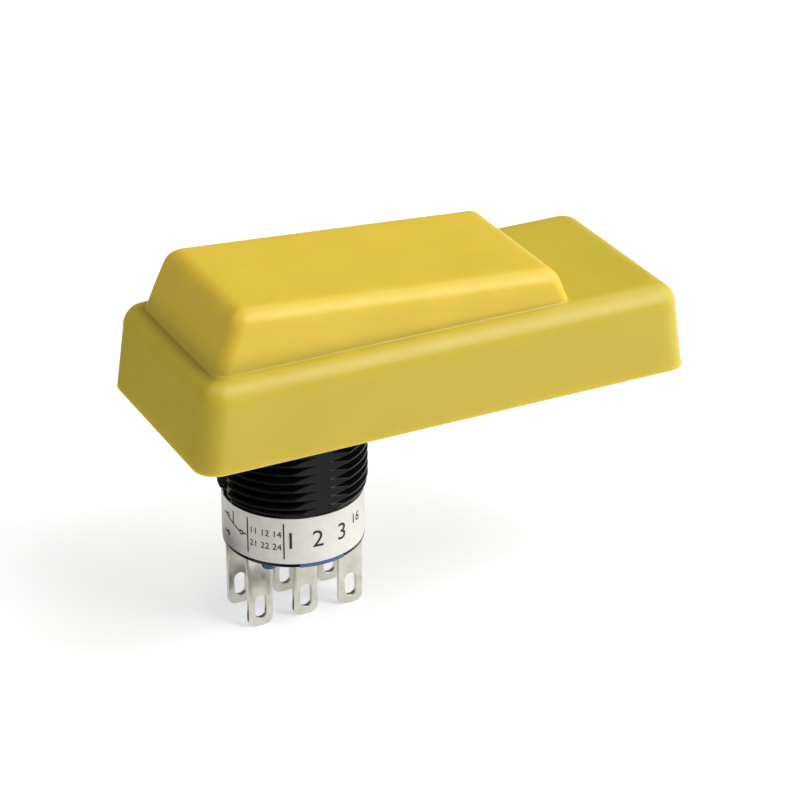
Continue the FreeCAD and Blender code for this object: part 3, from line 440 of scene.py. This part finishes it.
def thread_radius(angle, level):
    """A right-hand ridge whose height follows level / pitch - angle / turn, with a sharp root, straight
    flanks and a softened crest. It rises over the first pitch and runs out into the neck at its end. A plane
    cuts it at the front and at the back, so the turns end there in pointed lands; each side has a smooth
    strip."""
    phase = (level / THREAD_PITCH - angle / (2 * math.pi)) % 1
    ridge = 1 - np.abs(2 * phase - 1)
    climb = (ridge - ROOT_SHARE) / FLANK_SHARE - 1 + soft_step(0, -THREAD_PITCH, level)
    height = np.maximum(soft_min(climb, 1.0, CREST_SOFTNESS), 0)
    threaded = THREAD_RADIUS - THREAD_DEPTH * (1 - height)
    run_out = soft_step(RUN_OUT - THREAD_LENGTH, -THREAD_LENGTH, level)
    uncut = threaded + (CASE_RADIUS - threaded) * run_out
    quarter = (angle + math.pi / 4) % (math.pi / 2) - math.pi / 4
    flattened = soft_min(uncut, FLAT_DISTANCE / np.cos(quarter), FLAT_SOFTNESS)
    strip_half, strip_edge = STRIP_WIDTH / 2 / THREAD_RADIUS, STRIP_EDGE / THREAD_RADIUS
    strip = soft_step(strip_half + strip_edge, strip_half, np.abs(quarter))
    stripped = uncut + (np.minimum(uncut, FLAT_DISTANCE) - uncut) * strip
    return np.where(np.abs(np.cos(angle)) > np.abs(np.sin(angle)), stripped, flattened)


case_low, case_high = (np.array(corner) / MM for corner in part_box("barrel_case"))
case_end, collar_top = case_low[2], case_high[2]
collar_foot = collar_top - COLLAR_THICKNESS
label_end = -LABEL_START - LABEL_HEIGHT
spring_seat = collar_top - MOUTH_DEPTH
bush_foot = spring_seat - BUSH_SEAT_DEPTH
notch_middles = np.array([0.5, 1.5]) * math.pi
notch_edge = math.asin(NOTCH_WIDTH / 2 / CASE_RADIUS)
even = np.linspace(0, 2 * math.pi, BARREL_STEPS + 1)
notch_sides = [notch_middles + sign * (notch_edge + gap / CASE_RADIUS)
               for sign in (-1, 1) for gap in (0, NEAR_EDGE)]
around = np.unique(np.round(np.concatenate([even] + notch_sides), ANGLE_DIGITS))


def turned(profile):
    """Rows of the barrel that keep one radius and one level all the way round."""
    return np.repeat(np.array(profile)[:, :, None], len(around), axis=2)


collar = turned([(MOUTH_RADIUS, collar_top), (COLLAR_RADIUS, collar_top), (COLLAR_RADIUS, collar_foot),
                 (SPIGOT_RADIUS, collar_foot), (SPIGOT_RADIUS, 0.0)])
# The rows of thread and neck climb with the helix, so that root and crest lie on them
first_levels = -np.arange(0, LABEL_START + THREAD_PITCH, THREAD_PITCH / THREAD_ROWS)
thread_levels = np.clip(first_levels[:, None] + THREAD_PITCH * around / (2 * math.pi), -LABEL_START, 0)
thread = np.stack([thread_radius(around, thread_levels), thread_levels], axis=1)
seat_and_rim = turned([(LABEL_SEAT, -LABEL_START), (LABEL_SEAT, label_end), (CASE_RADIUS, label_end),
                       (CASE_RADIUS, case_end + RIM_EDGE), (CASE_RADIUS - RIM_EDGE, case_end)])
bores = turned([(BASE_BORE, case_end), (BASE_BORE, -BASE_TOP), (BLADE_BORE, -BASE_TOP),
                (BLADE_BORE, -GUIDE_DEPTH), (PLUNGER_BORE, -GUIDE_DEPTH), (PLUNGER_BORE, bush_foot),
                (BUSH_RADIUS, bush_foot), (BUSH_RADIUS, spring_seat), (MOUTH_RADIUS, spring_seat)])
radius, level = np.concatenate([collar, thread, seat_and_rim, bores]).transpose(1, 0, 2)
# Two flats at front and back key the collar between the tray's walls
flat_limit = COLLAR_FLAT / np.maximum(np.abs(np.sin(around)), NEARLY_ZERO)
radius = np.where(level > collar_foot - NEAR_EDGE, np.minimum(radius, flat_limit), radius)
in_notch = np.abs(np.cos(around)) < math.sin(notch_edge + NEAR_EDGE / CASE_RADIUS / 2)
level = np.where(in_notch & (level < label_end), label_end, level)
barrel_grid = np.stack([radius * np.cos(around), radius * np.sin(around), level], axis=-1)
barrel_grid = np.concatenate([barrel_grid, barrel_grid[:1]])
barrel = grid_piece("barrel", [barrel_grid], rows_close=False, sharp_degrees=70)

# Black polyester straight from a polished tool: deep gloss, broken by faint flow marks
black_polyester = moulded_plastic("gloss_black_polyester", "#08080A", roughness=0.22, cloud_mm=3.0,
                                  grain_mm=0.25, grain_depth_mm=0.003, specular=0.19)
barrel.data.materials.append(black_polyester)
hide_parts("barrel_case")
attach(barrel, "housing")

# Rating label: a satin polyester film wrapped once round its seat, with plain terminal numbers
# and a contact sign printed in black ink.
FIBRE_SIZE = 0.8
INK_LIFT = 0.02
INK_DEPTH = 0.03
LINE_WIDTH = 0.14
LINE_STEPS = 12
RING_STEPS = 25
SIGN_PLACE = np.array([-10.6, 0.0])
SIGN_STROKES = (
    ((1.15, 0.0), (-0.85, 0.85)),
    ((1.55, 0.0), (2.0, 0.0)),
    ((-1.3, 1.1), (-2.0, 1.1)),
    ((-1.3, -1.1), (-2.0, -1.1)),
    ((0.0, 0.45), (0.0, 2.0)),
)
SIGN_RINGS = ((-1.05, 1.1), (-1.05, -1.1), (1.3, 0.0))
SIGN_RING_RADIUS = 0.22
DIVIDER_PLACES = (-8.4, -4.25)
DIVIDER_HALF = 2.1
# A numeral's share of its font's height, then how far out and how closely the numbers are cut to bend
NUMERAL_SHARE = 0.72
NUMERAL_REACH = 4.2
NUMERAL_CUT = 0.35
NUMERAL_CURVE_STEPS = 3
# Piece, numbers, their height, and their place along the band and up it
NUMERALS = (
    ("contact_numbers_1", "11 12 14", 0.75, -6.32, 0.75),
    ("contact_numbers_2", "21 22 24", 0.75, -6.32, -0.75),
    ("position_numbers", "1  2  3", 2.0, -0.6, 0.0),
    ("barrel_number", "16", 1.15, 4.6, 0.7),
)
label_middle = -LABEL_START - LABEL_HEIGHT / 2

# Polyester film: off-white with a satin sheen, slightly uneven from its coating
label_film, film_tree, film_shader, film_place = start_material("label_film", {"IOR": 1.5})
fibre = noise(film_tree, film_place, FIBRE_SIZE, detail=4.0)
film_colours = tint(film_tree, spread(film_tree, fibre, 0, 1), linear("#D6D3CD"), linear("#E1DFDA"))
film_tree.links.new(film_colours, film_shader.inputs["Base Color"])
film_tree.links.new(spread(film_tree, fibre, 0.36, 0.46), film_shader.inputs["Roughness"])
dress("rating_label", label_film)


def on_label(along, up, lift):
    """Places round the band: a distance along it from the middle of the front, a level, and a lift off the
    film. The angle is the distance divided by the radius."""
    angle = along / CASE_RADIUS - math.pi / 2
    reach = CASE_RADIUS + lift
    return np.stack([reach * np.cos(angle), reach * np.sin(angle), up + 0 * angle], axis=-1)


def ink_line(path):
    """A printed line: a flat bar carried along points of the band, with its ends closed as poles."""
    heading = np.gradient(path, axis=0)
    length = np.linalg.norm(heading, axis=1)[:, None]
    side = np.stack([-heading[:, 1], heading[:, 0]], axis=1) / length * LINE_WIDTH / 2
    edges = [on_label(*(path + sign * side).T, lift)
             for sign, lift in ((1, -INK_DEPTH), (1, INK_LIFT), (-1, INK_LIFT), (-1, -INK_DEPTH))]
    bar = np.stack(edges, axis=1)
    ends = [np.repeat(bar[end:end + 1].mean(axis=1, keepdims=True), 4, axis=1) for end in (0, len(bar) - 1)]
    return np.concatenate([ends[0], bar, ends[1]])


def straight(start, end):
    """Even points from a start to an end, both measured from the band's middle."""
    return np.linspace(start, end, LINE_STEPS) + (0, label_middle)


def ring_mark(middle, radius):
    """Points once round a circle whose middle is measured from the band's middle."""
    turn = np.linspace(0, 2 * math.pi, RING_STEPS)[:, None]
    return middle + radius * np.concatenate([np.cos(turn), np.sin(turn)], axis=1) + (0, label_middle)


sign_lines = [straight(SIGN_PLACE + start, SIGN_PLACE + end) for start, end in SIGN_STROKES]
sign_rings = [ring_mark(SIGN_PLACE + place, SIGN_RING_RADIUS) for place in SIGN_RINGS]
dividers = [straight((along, -DIVIDER_HALF), (along, DIVIDER_HALF)) for along in DIVIDER_PLACES]
printed_lines = [ink_line(path) for path in sign_lines + sign_rings + dividers]
# Black printing ink: flat and even, with a slight sheen
black_ink = start_material("black_ink", {"Base Color": linear("#1B1B1E"), "Roughness": 0.5})[0]
label_lines = grid_piece("label_lines", printed_lines)
label_lines.data.materials.append(black_ink)
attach(label_lines, "housing")

for name, words, height, along, up in NUMERALS:
    font = bpy.data.curves.new(name, "FONT")
    font.body = words
    font.align_x = "CENTER"
    font.align_y = "CENTER"
    font.size = height / NUMERAL_SHARE
    font.extrude = (INK_LIFT + INK_DEPTH) / 2
    font.resolution_u = NUMERAL_CURVE_STEPS
    lettering = bpy.data.objects.new(name, font)
    mesh = bpy.data.meshes.new_from_object(lettering)
    bpy.data.objects.remove(lettering)
    work = bmesh.new()
    work.from_mesh(mesh)
    bmesh.ops.remove_doubles(work, verts=work.verts, dist=MERGE_DISTANCE)
    # Upright cuts let the flat numbers bend round the band
    for cut in np.arange(-NUMERAL_REACH, NUMERAL_REACH, NUMERAL_CUT):
        parts = work.verts[:] + work.edges[:] + work.faces[:]
        bmesh.ops.bisect_plane(work, geom=parts, plane_co=(cut, 0, 0), plane_no=(1, 0, 0))
    work.to_mesh(mesh)
    work.free()
    flat = np.empty(len(mesh.vertices) * 3, np.float32)
    mesh.vertices.foreach_get("co", flat)
    across, rise, lift = flat.reshape(-1, 3).T
    bent = on_label(across + along, rise + up + label_middle, lift + (INK_LIFT - INK_DEPTH) / 2)
    mesh.vertices.foreach_set("co", (bent * MM).astype(np.float32).ravel())
    numeral = bpy.data.objects.new(f"label_{name}", mesh)
    bpy.context.scene.collection.objects.link(numeral)
    mesh.materials.clear()
    mesh.materials.append(black_ink)
    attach(numeral, "housing")

# Tray and lever: matte glass-filled nylon, dark grey and grey, with the dull grain of its fibres.
# The tray is clamped inside the boot and carries the hinge; the lever is the ribbed paddle under the pad.
NYLON_SKIN = {"roughness": 0.6, "cloud_mm": 3.0, "grain_mm": 0.15, "grain_depth_mm": 0.01}
dress("operator_base", moulded_plastic("dark_filled_nylon", "#3A3A3C", **NYLON_SKIN))
dress("lever", moulded_plastic("grey_filled_nylon", "#7A7A7C", **NYLON_SKIN))

# Rubber boot: one moulding in yellow silicone, a block with a raised, tilted press pad over the lever.
# The wall is even; a lip round the opening is clamped against the panel.
BOOT_HEIGHT = 9.45
BOOT_END_DRAFT = 1.15
BOOT_SIDE_DRAFT = 0.5
BOOT_NEAR_CORNER = 2.4
BOOT_FAR_CORNER = 2.6
BOOT_EDGE = 2.5
BOOT_WALL = 1.2
LIP_WIDTH = 2.6
LIP_THICKNESS = 1.2
PAD_SETBACK = 3.0
PAD_LENGTH = 40.2
PAD_WIDTH = 19.6
PAD_RISE = 6.28
PAD_SLOPE = math.tan(math.radians(4.2))
PAD_NEAR_LEAN = 2.65
PAD_FAR_LEAN = 2.6
PAD_SIDE_LEAN = 0.65
PAD_EDGE = 1.95
PAD_NEAR_CORNER = 1.35
PAD_FAR_CORNER = 1.3
PAD_SAG = 0.14
FOOT_NEAR_FILLET = 0.18
FOOT_FAR_FILLET = 0.28
FOOT_END_FILLET = 0.2
FOOT_PULL = 0.75
CREASE_DEPTH = 0.12
CREASE_WIDTH = 0.85
BACKED_NEAR = 2.4
BACKED_FAR = 0.3
FLASH_SIZE = 0.12
FLASH_HEIGHT = 0.25
LEAST_ROUND = 0.25
LEAST_TOP_CORNER = 0.2
BOOT_LONG_STEPS = 76
BOOT_SHORT_STEPS = 30
BOOT_CORNER_STEPS = 9
WALL_ROWS = 18
SHOULDER_ROWS = 40
FOOT_ROWS = 6
PAD_WALL_ROWS = 13
RIM_ROWS = 10
TOP_ROWS = 15
LIP_ROWS = 6
MEETING_ROUNDS = 5

boot_low, boot_high = (np.array(corner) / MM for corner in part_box("rubber_boot"))
boot_stations = round_stations(BOOT_LONG_STEPS, BOOT_SHORT_STEPS, BOOT_CORNER_STEPS)
facing_x, facing_y = np.cos(boot_stations[2]), np.sin(boot_stations[2])
at_far_end = boot_stations[0] > 0
towards_far = (boot_stations[0] + 1) / 2


def block_outline(inset, level):
    """Left, right and half-width of the drafted block at a level, set in from the outside."""
    half_length = (boot_high[0] - boot_low[0]) / 2 - BOOT_END_DRAFT * level / BOOT_HEIGHT - inset
    half_width = boot_high[1] - BOOT_SIDE_DRAFT * level / BOOT_HEIGHT - inset
    middle = (boot_high[0] + boot_low[0]) / 2
    return middle - half_length, middle + half_length, half_width


def ring(outline, radius, level):
    """Rounded rectangles in plan at their levels."""
    left, right, half_width = outline
    x, y = round_loop(boot_stations, left, right, -half_width, half_width, radius)
    return np.stack(np.broadcast_arrays(x, y, level), axis=-1)


def arc_between(start, corner, end, weight, steps):
    """A round from one tangent to the other: a rational curve pulled to the corner by its weight."""
    share = np.linspace(0, 1, steps)[:, None, None]
    pull = 2 * weight * share * (1 - share)
    total = (1 - share) ** 2 + pull + share ** 2
    return ((1 - share) ** 2 * start + pull * corner + share ** 2 * end) / total


def boot_skin(inset, foot, crease):
    """Rings of one face of the rubber wall, set in from the outside, from its bottom edge to the pad's
    middle. Up the block a ring shrinks with the draft; over the shoulder it moves in to the pad's foot at
    the height of a block with a rounded edge, with a crease along the near end's foot; up the pad it leans
    in; foot and rim are arcs; the top closes on its middle line. With the rings comes their tone: 1 where
    the lever backs the rubber, 0 over the hollow block, and below 0 painted shade in the crease."""
    height = BOOT_HEIGHT - inset
    near_corner, far_corner = BOOT_NEAR_CORNER - inset, BOOT_FAR_CORNER - inset
    corner = np.where(at_far_end, far_corner, near_corner)
    edge = BOOT_EDGE - inset
    rim = max(PAD_EDGE - inset, PAD_EDGE * LEAST_ROUND)
    pad_corner = np.where(at_far_end, max(PAD_FAR_CORNER - inset, PAD_FAR_CORNER * LEAST_ROUND),
                          max(PAD_NEAR_CORNER - inset, PAD_NEAR_CORNER * LEAST_ROUND))
    side_fillet = FOOT_NEAR_FILLET + (FOOT_FAR_FILLET - FOOT_NEAR_FILLET) * towards_far
    fillet = FOOT_END_FILLET + (side_fillet - FOOT_END_FILLET) * np.abs(facing_y)
    left, right, half_width = block_outline(inset, height - edge)

    def inward(x, y):
        """How far a point lies inside the block's outline where its edge starts to round: the corner's
        radius less the distance to the corner's centre, or the distance to the nearer wall."""
        turning = np.where(x > (left + right) / 2, far_corner, near_corner)
        out_x = np.abs(x - (left + right) / 2) - (right - left) / 2 + turning
        out_y = np.abs(y) - half_width + turning
        outside = np.hypot(np.maximum(out_x, 0), np.maximum(out_y, 0))
        return turning - outside - np.minimum(np.maximum(out_x, out_y), 0)

    def crown(x, y):
        """Height of the block's rounded top: a quarter circle up from the outline, then level."""
        short = np.clip(edge - inward(x, y), 0, edge)
        return height - edge + np.sqrt(edge ** 2 - short ** 2)

    def pad_outline(rise, grow=0.0):
        """Left, right and half-width of the pad at a rise over the block: its ends lean in evenly, and its
        sides more and more, by the square of the rise."""
        share = rise / PAD_RISE
        near = boot_low[0] + PAD_SETBACK + inset + PAD_NEAR_LEAN * share - grow
        far = boot_low[0] + PAD_SETBACK + PAD_LENGTH - inset - PAD_FAR_LEAN * share + grow
        return near, far, PAD_WIDTH / 2 - inset - PAD_SIDE_LEAN * share ** 2 + grow

    def top_level(x):
        """Height of the pad's tilted top, which falls evenly from its near edge."""
        near_edge = boot_low[0] + PAD_SETBACK + inset + PAD_NEAR_LEAN
        return height + PAD_RISE - (x - near_edge) * PAD_SLOPE

    wall_levels = (foot + np.linspace(0, 1, WALL_ROWS) ** 2 * (height - edge - foot))[:, None]
    flash = FLASH_SIZE * np.maximum(facing_x, 0) * np.exp(-(wall_levels / FLASH_HEIGHT) ** 2)
    wall = ring(block_outline(inset - flash, wall_levels), corner, wall_levels)

    # The pad leans in, so the heights of its foot on the block and of its rim are found in a few rounds
    foot_rise = np.zeros_like(facing_x)
    rim_rise = np.full_like(facing_x, PAD_RISE)
    for _ in range(MEETING_ROUNDS):
        at_foot = ring(pad_outline(foot_rise), pad_corner, 0.0)
        foot_rise = crown(at_foot[..., 0], at_foot[..., 1]) - height
        at_rim = ring(pad_outline(rim_rise), pad_corner, 0.0)
        rim_rise = top_level(at_rim[..., 0]) - height

    foot_start = ring(pad_outline(foot_rise, fillet), pad_corner + fillet, 0.0)
    depth = inward(foot_start[..., 0], foot_start[..., 1])
    rounding = edge * np.arccos(1 - np.minimum(depth, edge) / edge)
    full_path = rounding + np.maximum(depth - edge, 0)
    path = np.linspace(0, 1, SHOULDER_ROWS)[1:, None] * full_path
    travelled = edge * (1 - np.cos(np.minimum(path, rounding) / edge)) + np.maximum(path - rounding, 0)
    share = (travelled / depth)[..., None]
    shoulder = wall[-1] * (1 - share) + foot_start * share
    # The crease's mask both deepens the groove and, through the tone, darkens it with painted shade
    crease_and_painted_shade = np.maximum(-facing_x, 0) * np.exp(-((full_path - path) / CREASE_WIDTH) ** 2)
    shoulder[..., 2] = crown(shoulder[..., 0], shoulder[..., 1]) - crease * crease_and_painted_shade

    foot_corner = ring(pad_outline(foot_rise), pad_corner, height + foot_rise)
    foot_end = ring(pad_outline(foot_rise + fillet), pad_corner, height + foot_rise + fillet)
    foot_arc = arc_between(shoulder[-1], foot_corner, foot_end, FOOT_PULL, FOOT_ROWS)[1:]

    end_lean = np.where(facing_x < 0, PAD_NEAR_LEAN, PAD_FAR_LEAN)
    side_lean = 2 * PAD_SIDE_LEAN * rim_rise / PAD_RISE
    lean = np.arctan((facing_x ** 2 * end_lean + facing_y ** 2 * side_lean) / PAD_RISE)
    climb = math.pi / 2 - lean
    turn = climb - np.arctan(PAD_SLOPE * facing_x)
    reach = rim * np.tan(turn / 2)
    rim_corner = ring(pad_outline(rim_rise), pad_corner, height + rim_rise)
    start_rise = rim_rise - reach * np.sin(climb)
    rim_start = ring(pad_outline(start_rise), pad_corner, height + start_rise)
    top_corner = np.maximum(pad_corner - reach, pad_corner * LEAST_TOP_CORNER)
    rim_end = ring(pad_outline(rim_rise, -reach), top_corner, 0.0)
    rim_end[..., 2] = top_level(rim_end[..., 0])
    share = np.linspace(0, 1, PAD_WALL_ROWS)[1:-1, None]
    wall_rise = foot_rise + fillet + share * (start_rise - foot_rise - fillet)
    pad_wall = ring(pad_outline(wall_rise), pad_corner, height + wall_rise)
    weight = np.cos(turn / 2)[:, None]
    rim_arc = arc_between(rim_start, rim_corner, rim_end, weight, RIM_ROWS)

    half = rim_end[..., 1].max()
    middle = rim_end.copy()
    middle[..., 0] = np.clip(rim_end[..., 0], rim_end[..., 0].min() + half, rim_end[..., 0].max() - half)
    middle[..., 1] = 0
    share = np.linspace(0, 1, TOP_ROWS)[1:, None, None]
    top = rim_end * (1 - share) + middle * share
    top[..., 2] = top_level(top[..., 0]) - PAD_SAG * soft_step(0, 1, share[..., 0])

    backed_height = BACKED_NEAR + (BACKED_FAR - BACKED_NEAR) * towards_far
    foot_warmth, wall_warmth = (soft_step(0, backed_height, part[..., 2] - height - foot_rise)
                                for part in (foot_arc, pad_wall))
    rows = [wall, shoulder, foot_arc, pad_wall, rim_arc, top]
    # Row tones: the lever's backing, and the painted shade of the crease as negative values
    tone_with_painted_shade = [0, -crease_and_painted_shade, foot_warmth, wall_warmth, 1, 1]
    tone_and_painted_shade = [np.broadcast_to(part, row.shape[:2]) for part, row in zip(tone_with_painted_shade, rows)]
    return np.concatenate(rows), np.concatenate(tone_and_painted_shade)


# Each skin's tone carries the backing and the crease's painted shade
outer, outer_tone_and_painted_shade = boot_skin(0.0, 0.0, CREASE_DEPTH)
inner, inner_tone_and_painted_shade = boot_skin(BOOT_WALL, LIP_THICKNESS, 0.0)
opening = block_outline(LIP_WIDTH, 0.0)
lip_corner = BOOT_NEAR_CORNER - BOOT_WALL
lip_share = np.linspace(0, 1, LIP_ROWS)[1:, None, None]
opening_edge = ring(opening, lip_corner, 0.0)
opening_top = ring(opening, lip_corner, LIP_THICKNESS)
underside = outer[0] * (1 - lip_share) + opening_edge * lip_share
bore = opening_edge * (1 - lip_share[1::2]) + opening_top * lip_share[1::2]
lip_top = opening_top * (1 - lip_share[:-1]) + inner[0] * lip_share[:-1]
lip = np.concatenate([underside, bore, lip_top])
boot_rows = np.concatenate([outer[::-1], lip, inner])
boot_tone_and_painted_shade = np.concatenate([outer_tone_and_painted_shade[::-1], np.zeros(lip.shape[:2]), inner_tone_and_painted_shade])
boot = grid_piece("boot", [boot_rows], sharp_degrees=50, tone_and_painted_shade=boot_tone_and_painted_shade)

# Silicone rubber: semi-matte and a little translucent, so it glows at its edges. It looks warmer on the
# pad, where the lever backs it, greener over the hollow block and towards the pad's near foot; the crease
# is darkened with painted shade. The tool left a fine even grain, drawn coarser so that it shows
RUBBER_CLOUD = 7.0
BLOOM_SIZE = 3.0
SKIN_GRAIN = 0.25
SKIN_DEPTH = 0.006
GLOW_DEPTH = 2.0
silicone, boot_tree, boot_shader, boot_place = start_material("yellow_silicone", {
    "IOR": 1.41, "Specular IOR Level": 0.7, "Subsurface Weight": 0.5,
    "Subsurface Radius": (1.0, 0.75, 0.2), "Subsurface Scale": GLOW_DEPTH * MM})
# The tone attribute: its share of backing picks the colour, and its negative part is painted crease shade
backing_and_painted_shade = add_node(boot_tree, "ShaderNodeAttribute", {"attribute_name": "tone_and_painted_shade"}).outputs["Fac"]
cloud = noise(boot_tree, boot_place, RUBBER_CLOUD)
hollow_colour = tint(boot_tree, spread(boot_tree, cloud, 0, 1), linear("#BEA92B"), linear("#C3AE30"))
backed_colour = tint(boot_tree, spread(boot_tree, cloud, 0, 1), linear("#D4B634"), linear("#DABC38"))
# Painted shade: below 0 the tone darkens the colour towards #9E8B25 along the crease
painted_crease_shade_ends = {"Value": backing_and_painted_shade, "From Min": 0.0, "From Max": -1.0, "To Min": 0.0, "To Max": 1.0}
painted_crease_shade = add_node(boot_tree, "ShaderNodeMapRange", None, painted_crease_shade_ends).outputs["Result"]
skin_colour = tint(boot_tree, backing_and_painted_shade, hollow_colour, backed_colour)
boot_tree.links.new(tint(boot_tree, painted_crease_shade, skin_colour, linear("#9E8B25")), boot_shader.inputs["Base Color"])
bloom = noise(boot_tree, boot_place, BLOOM_SIZE, detail=4.0)
boot_tree.links.new(spread(boot_tree, bloom, 0.38, 0.46), boot_shader.inputs["Roughness"])
skin_grain = noise(boot_tree, boot_place, SKIN_GRAIN, detail=3.0)
skin_relief = {"Height": skin_grain, "Distance": SKIN_DEPTH * MM, "Strength": 1.0}
skin_bump = add_node(boot_tree, "ShaderNodeBump", None, skin_relief)
boot_tree.links.new(skin_bump.outputs["Normal"], boot_shader.inputs["Normal"])
boot.data.materials.append(silicone)
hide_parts("rubber_boot")
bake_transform(boot)

# Floor: a light table that the blades' tips stand on, a sheet of opal acrylic lit evenly from below.
# The white that shines through it keeps the shadow pale. Its half width is in metres.
FLOOR_HALF = 3.0
floor_level = cad_box[0].z


def flat_sheet(name, corners, material):
    """A flat sheet between four corners in metres."""
    mesh = bpy.data.meshes.new(name)
    mesh.from_pydata(corners.tolist(), [], [(0, 1, 2, 3)])
    mesh.materials.append(material)
    sheet = bpy.data.objects.new(name, mesh)
    bpy.context.scene.collection.objects.link(sheet)
    return sheet


opal_acrylic = start_material("opal_acrylic", {
    "Base Color": linear("#CBCBCB"), "Roughness": 0.9, "Specular IOR Level": 0.0,
    "Emission Color": linear("#FFFFFF"), "Emission Strength": 0.53})[0]
floor_corners = np.array([(-1, -1, 0), (1, -1, 0), (1, 1, 0), (-1, 1, 0)]) * FLOOR_HALF
floor = flat_sheet("floor", floor_corners + (0, 0, floor_level), opal_acrylic)

# Flags: four cards of black felt that no lamp or camera sees. One lies at the left, one before the tabs and
# one between their rows, for reflections alone, so that the near end and the tabs mirror more than white
# floor. The fourth hangs under the boot's near end and shades the label's left side.
black_felt = start_material("black_felt", {"Base Color": linear("#1A1A1A"), "Roughness": 1.0})[0]
# Name, a corner in mm with its height over the floor, two edges from it, and whether it shades
FLAGS = (
    ("flag_left", (-600.0, -200.0, 0.5), (580.0, 0.0, 0.0), (0.0, 800.0, 0.0), False),
    ("flag_tabs", (-20.0, -16.5, 0.5), (21.5, 0.0, 0.0), (0.0, 7.5, 0.0), False),
    ("flag_between", (-11.0, -2.4, 0.5), (10.0, 0.0, 0.0), (0.0, 2.2, 0.0), False),
    ("flag_label", (-10.0, -3.0, 4.0), (0.0, 11.0, 0.0), (0.0, 0.0, 6.0), True),
)
for name, corner, first_edge, second_edge, shades in FLAGS:
    sides = np.array([np.zeros(3), first_edge, np.add(first_edge, second_edge), second_edge])
    card = flat_sheet(name, (corner + sides) * MM + (0, 0, floor_level), black_felt)
    card.visible_camera = False
    card.visible_shadow = False
    card.visible_diffuse = shades

# Studio light: a tall softbox high at the right front draws the highlights along the edges. Weak ones above
# on both sides and low at the right, and a pale room, fill the shade. Places and sizes are in metres.
LIGHT_AIM = (0.012, 0.0, 0.0)
ROOM_STRENGTH = 0.16
# Name, place, width and height, and power in watts
SOFTBOXES = (
    ("key", (0.48, -0.55, 0.69), (0.40, 0.95), 8.7),
    ("top_right", (0.55, 0.15, 0.70), (0.60, 0.60), 2.1),
    ("top_left", (-0.42, 0.0, 0.73), (0.50, 0.50), 1.8),
    ("right", (0.90, -0.10, 0.35), (0.60, 0.60), 3.0),
)
for name, stand, (width, height), power in SOFTBOXES:
    lamp = bpy.data.lights.new(name, "AREA")
    lamp.shape = "RECTANGLE"
    lamp.size = width
    lamp.size_y = height
    lamp.energy = power
    softbox = bpy.data.objects.new(name, lamp)
    bpy.context.scene.collection.objects.link(softbox)
    softbox.location = stand
    aim = np.subtract(LIGHT_AIM, stand)
    softbox.rotation_euler = (math.acos(-aim[2] / np.linalg.norm(aim)), 0, math.atan2(-aim[0], aim[1]))
room = bpy.data.worlds.new("studio")
room.use_nodes = True
room.node_tree.nodes["Background"].inputs["Color"].default_value = linear("#FFFFFF")
room.node_tree.nodes["Background"].inputs["Strength"].default_value = ROOM_STRENGTH
bpy.context.scene.world = room
bpy.context.scene.view_settings.view_transform = "Standard"

# Camera: a long lens where the photograph was taken from, left of the front and looking down on the boot.
# Its place and turn in metres and degrees come from fitting the object's outline to the photograph.
CAMERA_PLACE = (-0.109815, -0.243414, 0.136813)
CAMERA_AZIMUTH = 26.727
CAMERA_ELEVATION = 27.182
CAMERA_LENS = 129.238
CAMERA_SENSOR = 36.0
CAMERA_NEAREST = 0.01
lens = bpy.data.cameras.new("camera")
lens.lens = CAMERA_LENS
lens.sensor_width = CAMERA_SENSOR
lens.clip_start = CAMERA_NEAREST
camera = bpy.data.objects.new("camera", lens)
bpy.context.scene.collection.objects.link(camera)
camera.location = CAMERA_PLACE
camera.rotation_euler = (math.radians(90 - CAMERA_ELEVATION), 0, math.radians(-CAMERA_AZIMUTH))
bpy.context.scene.camera = camera
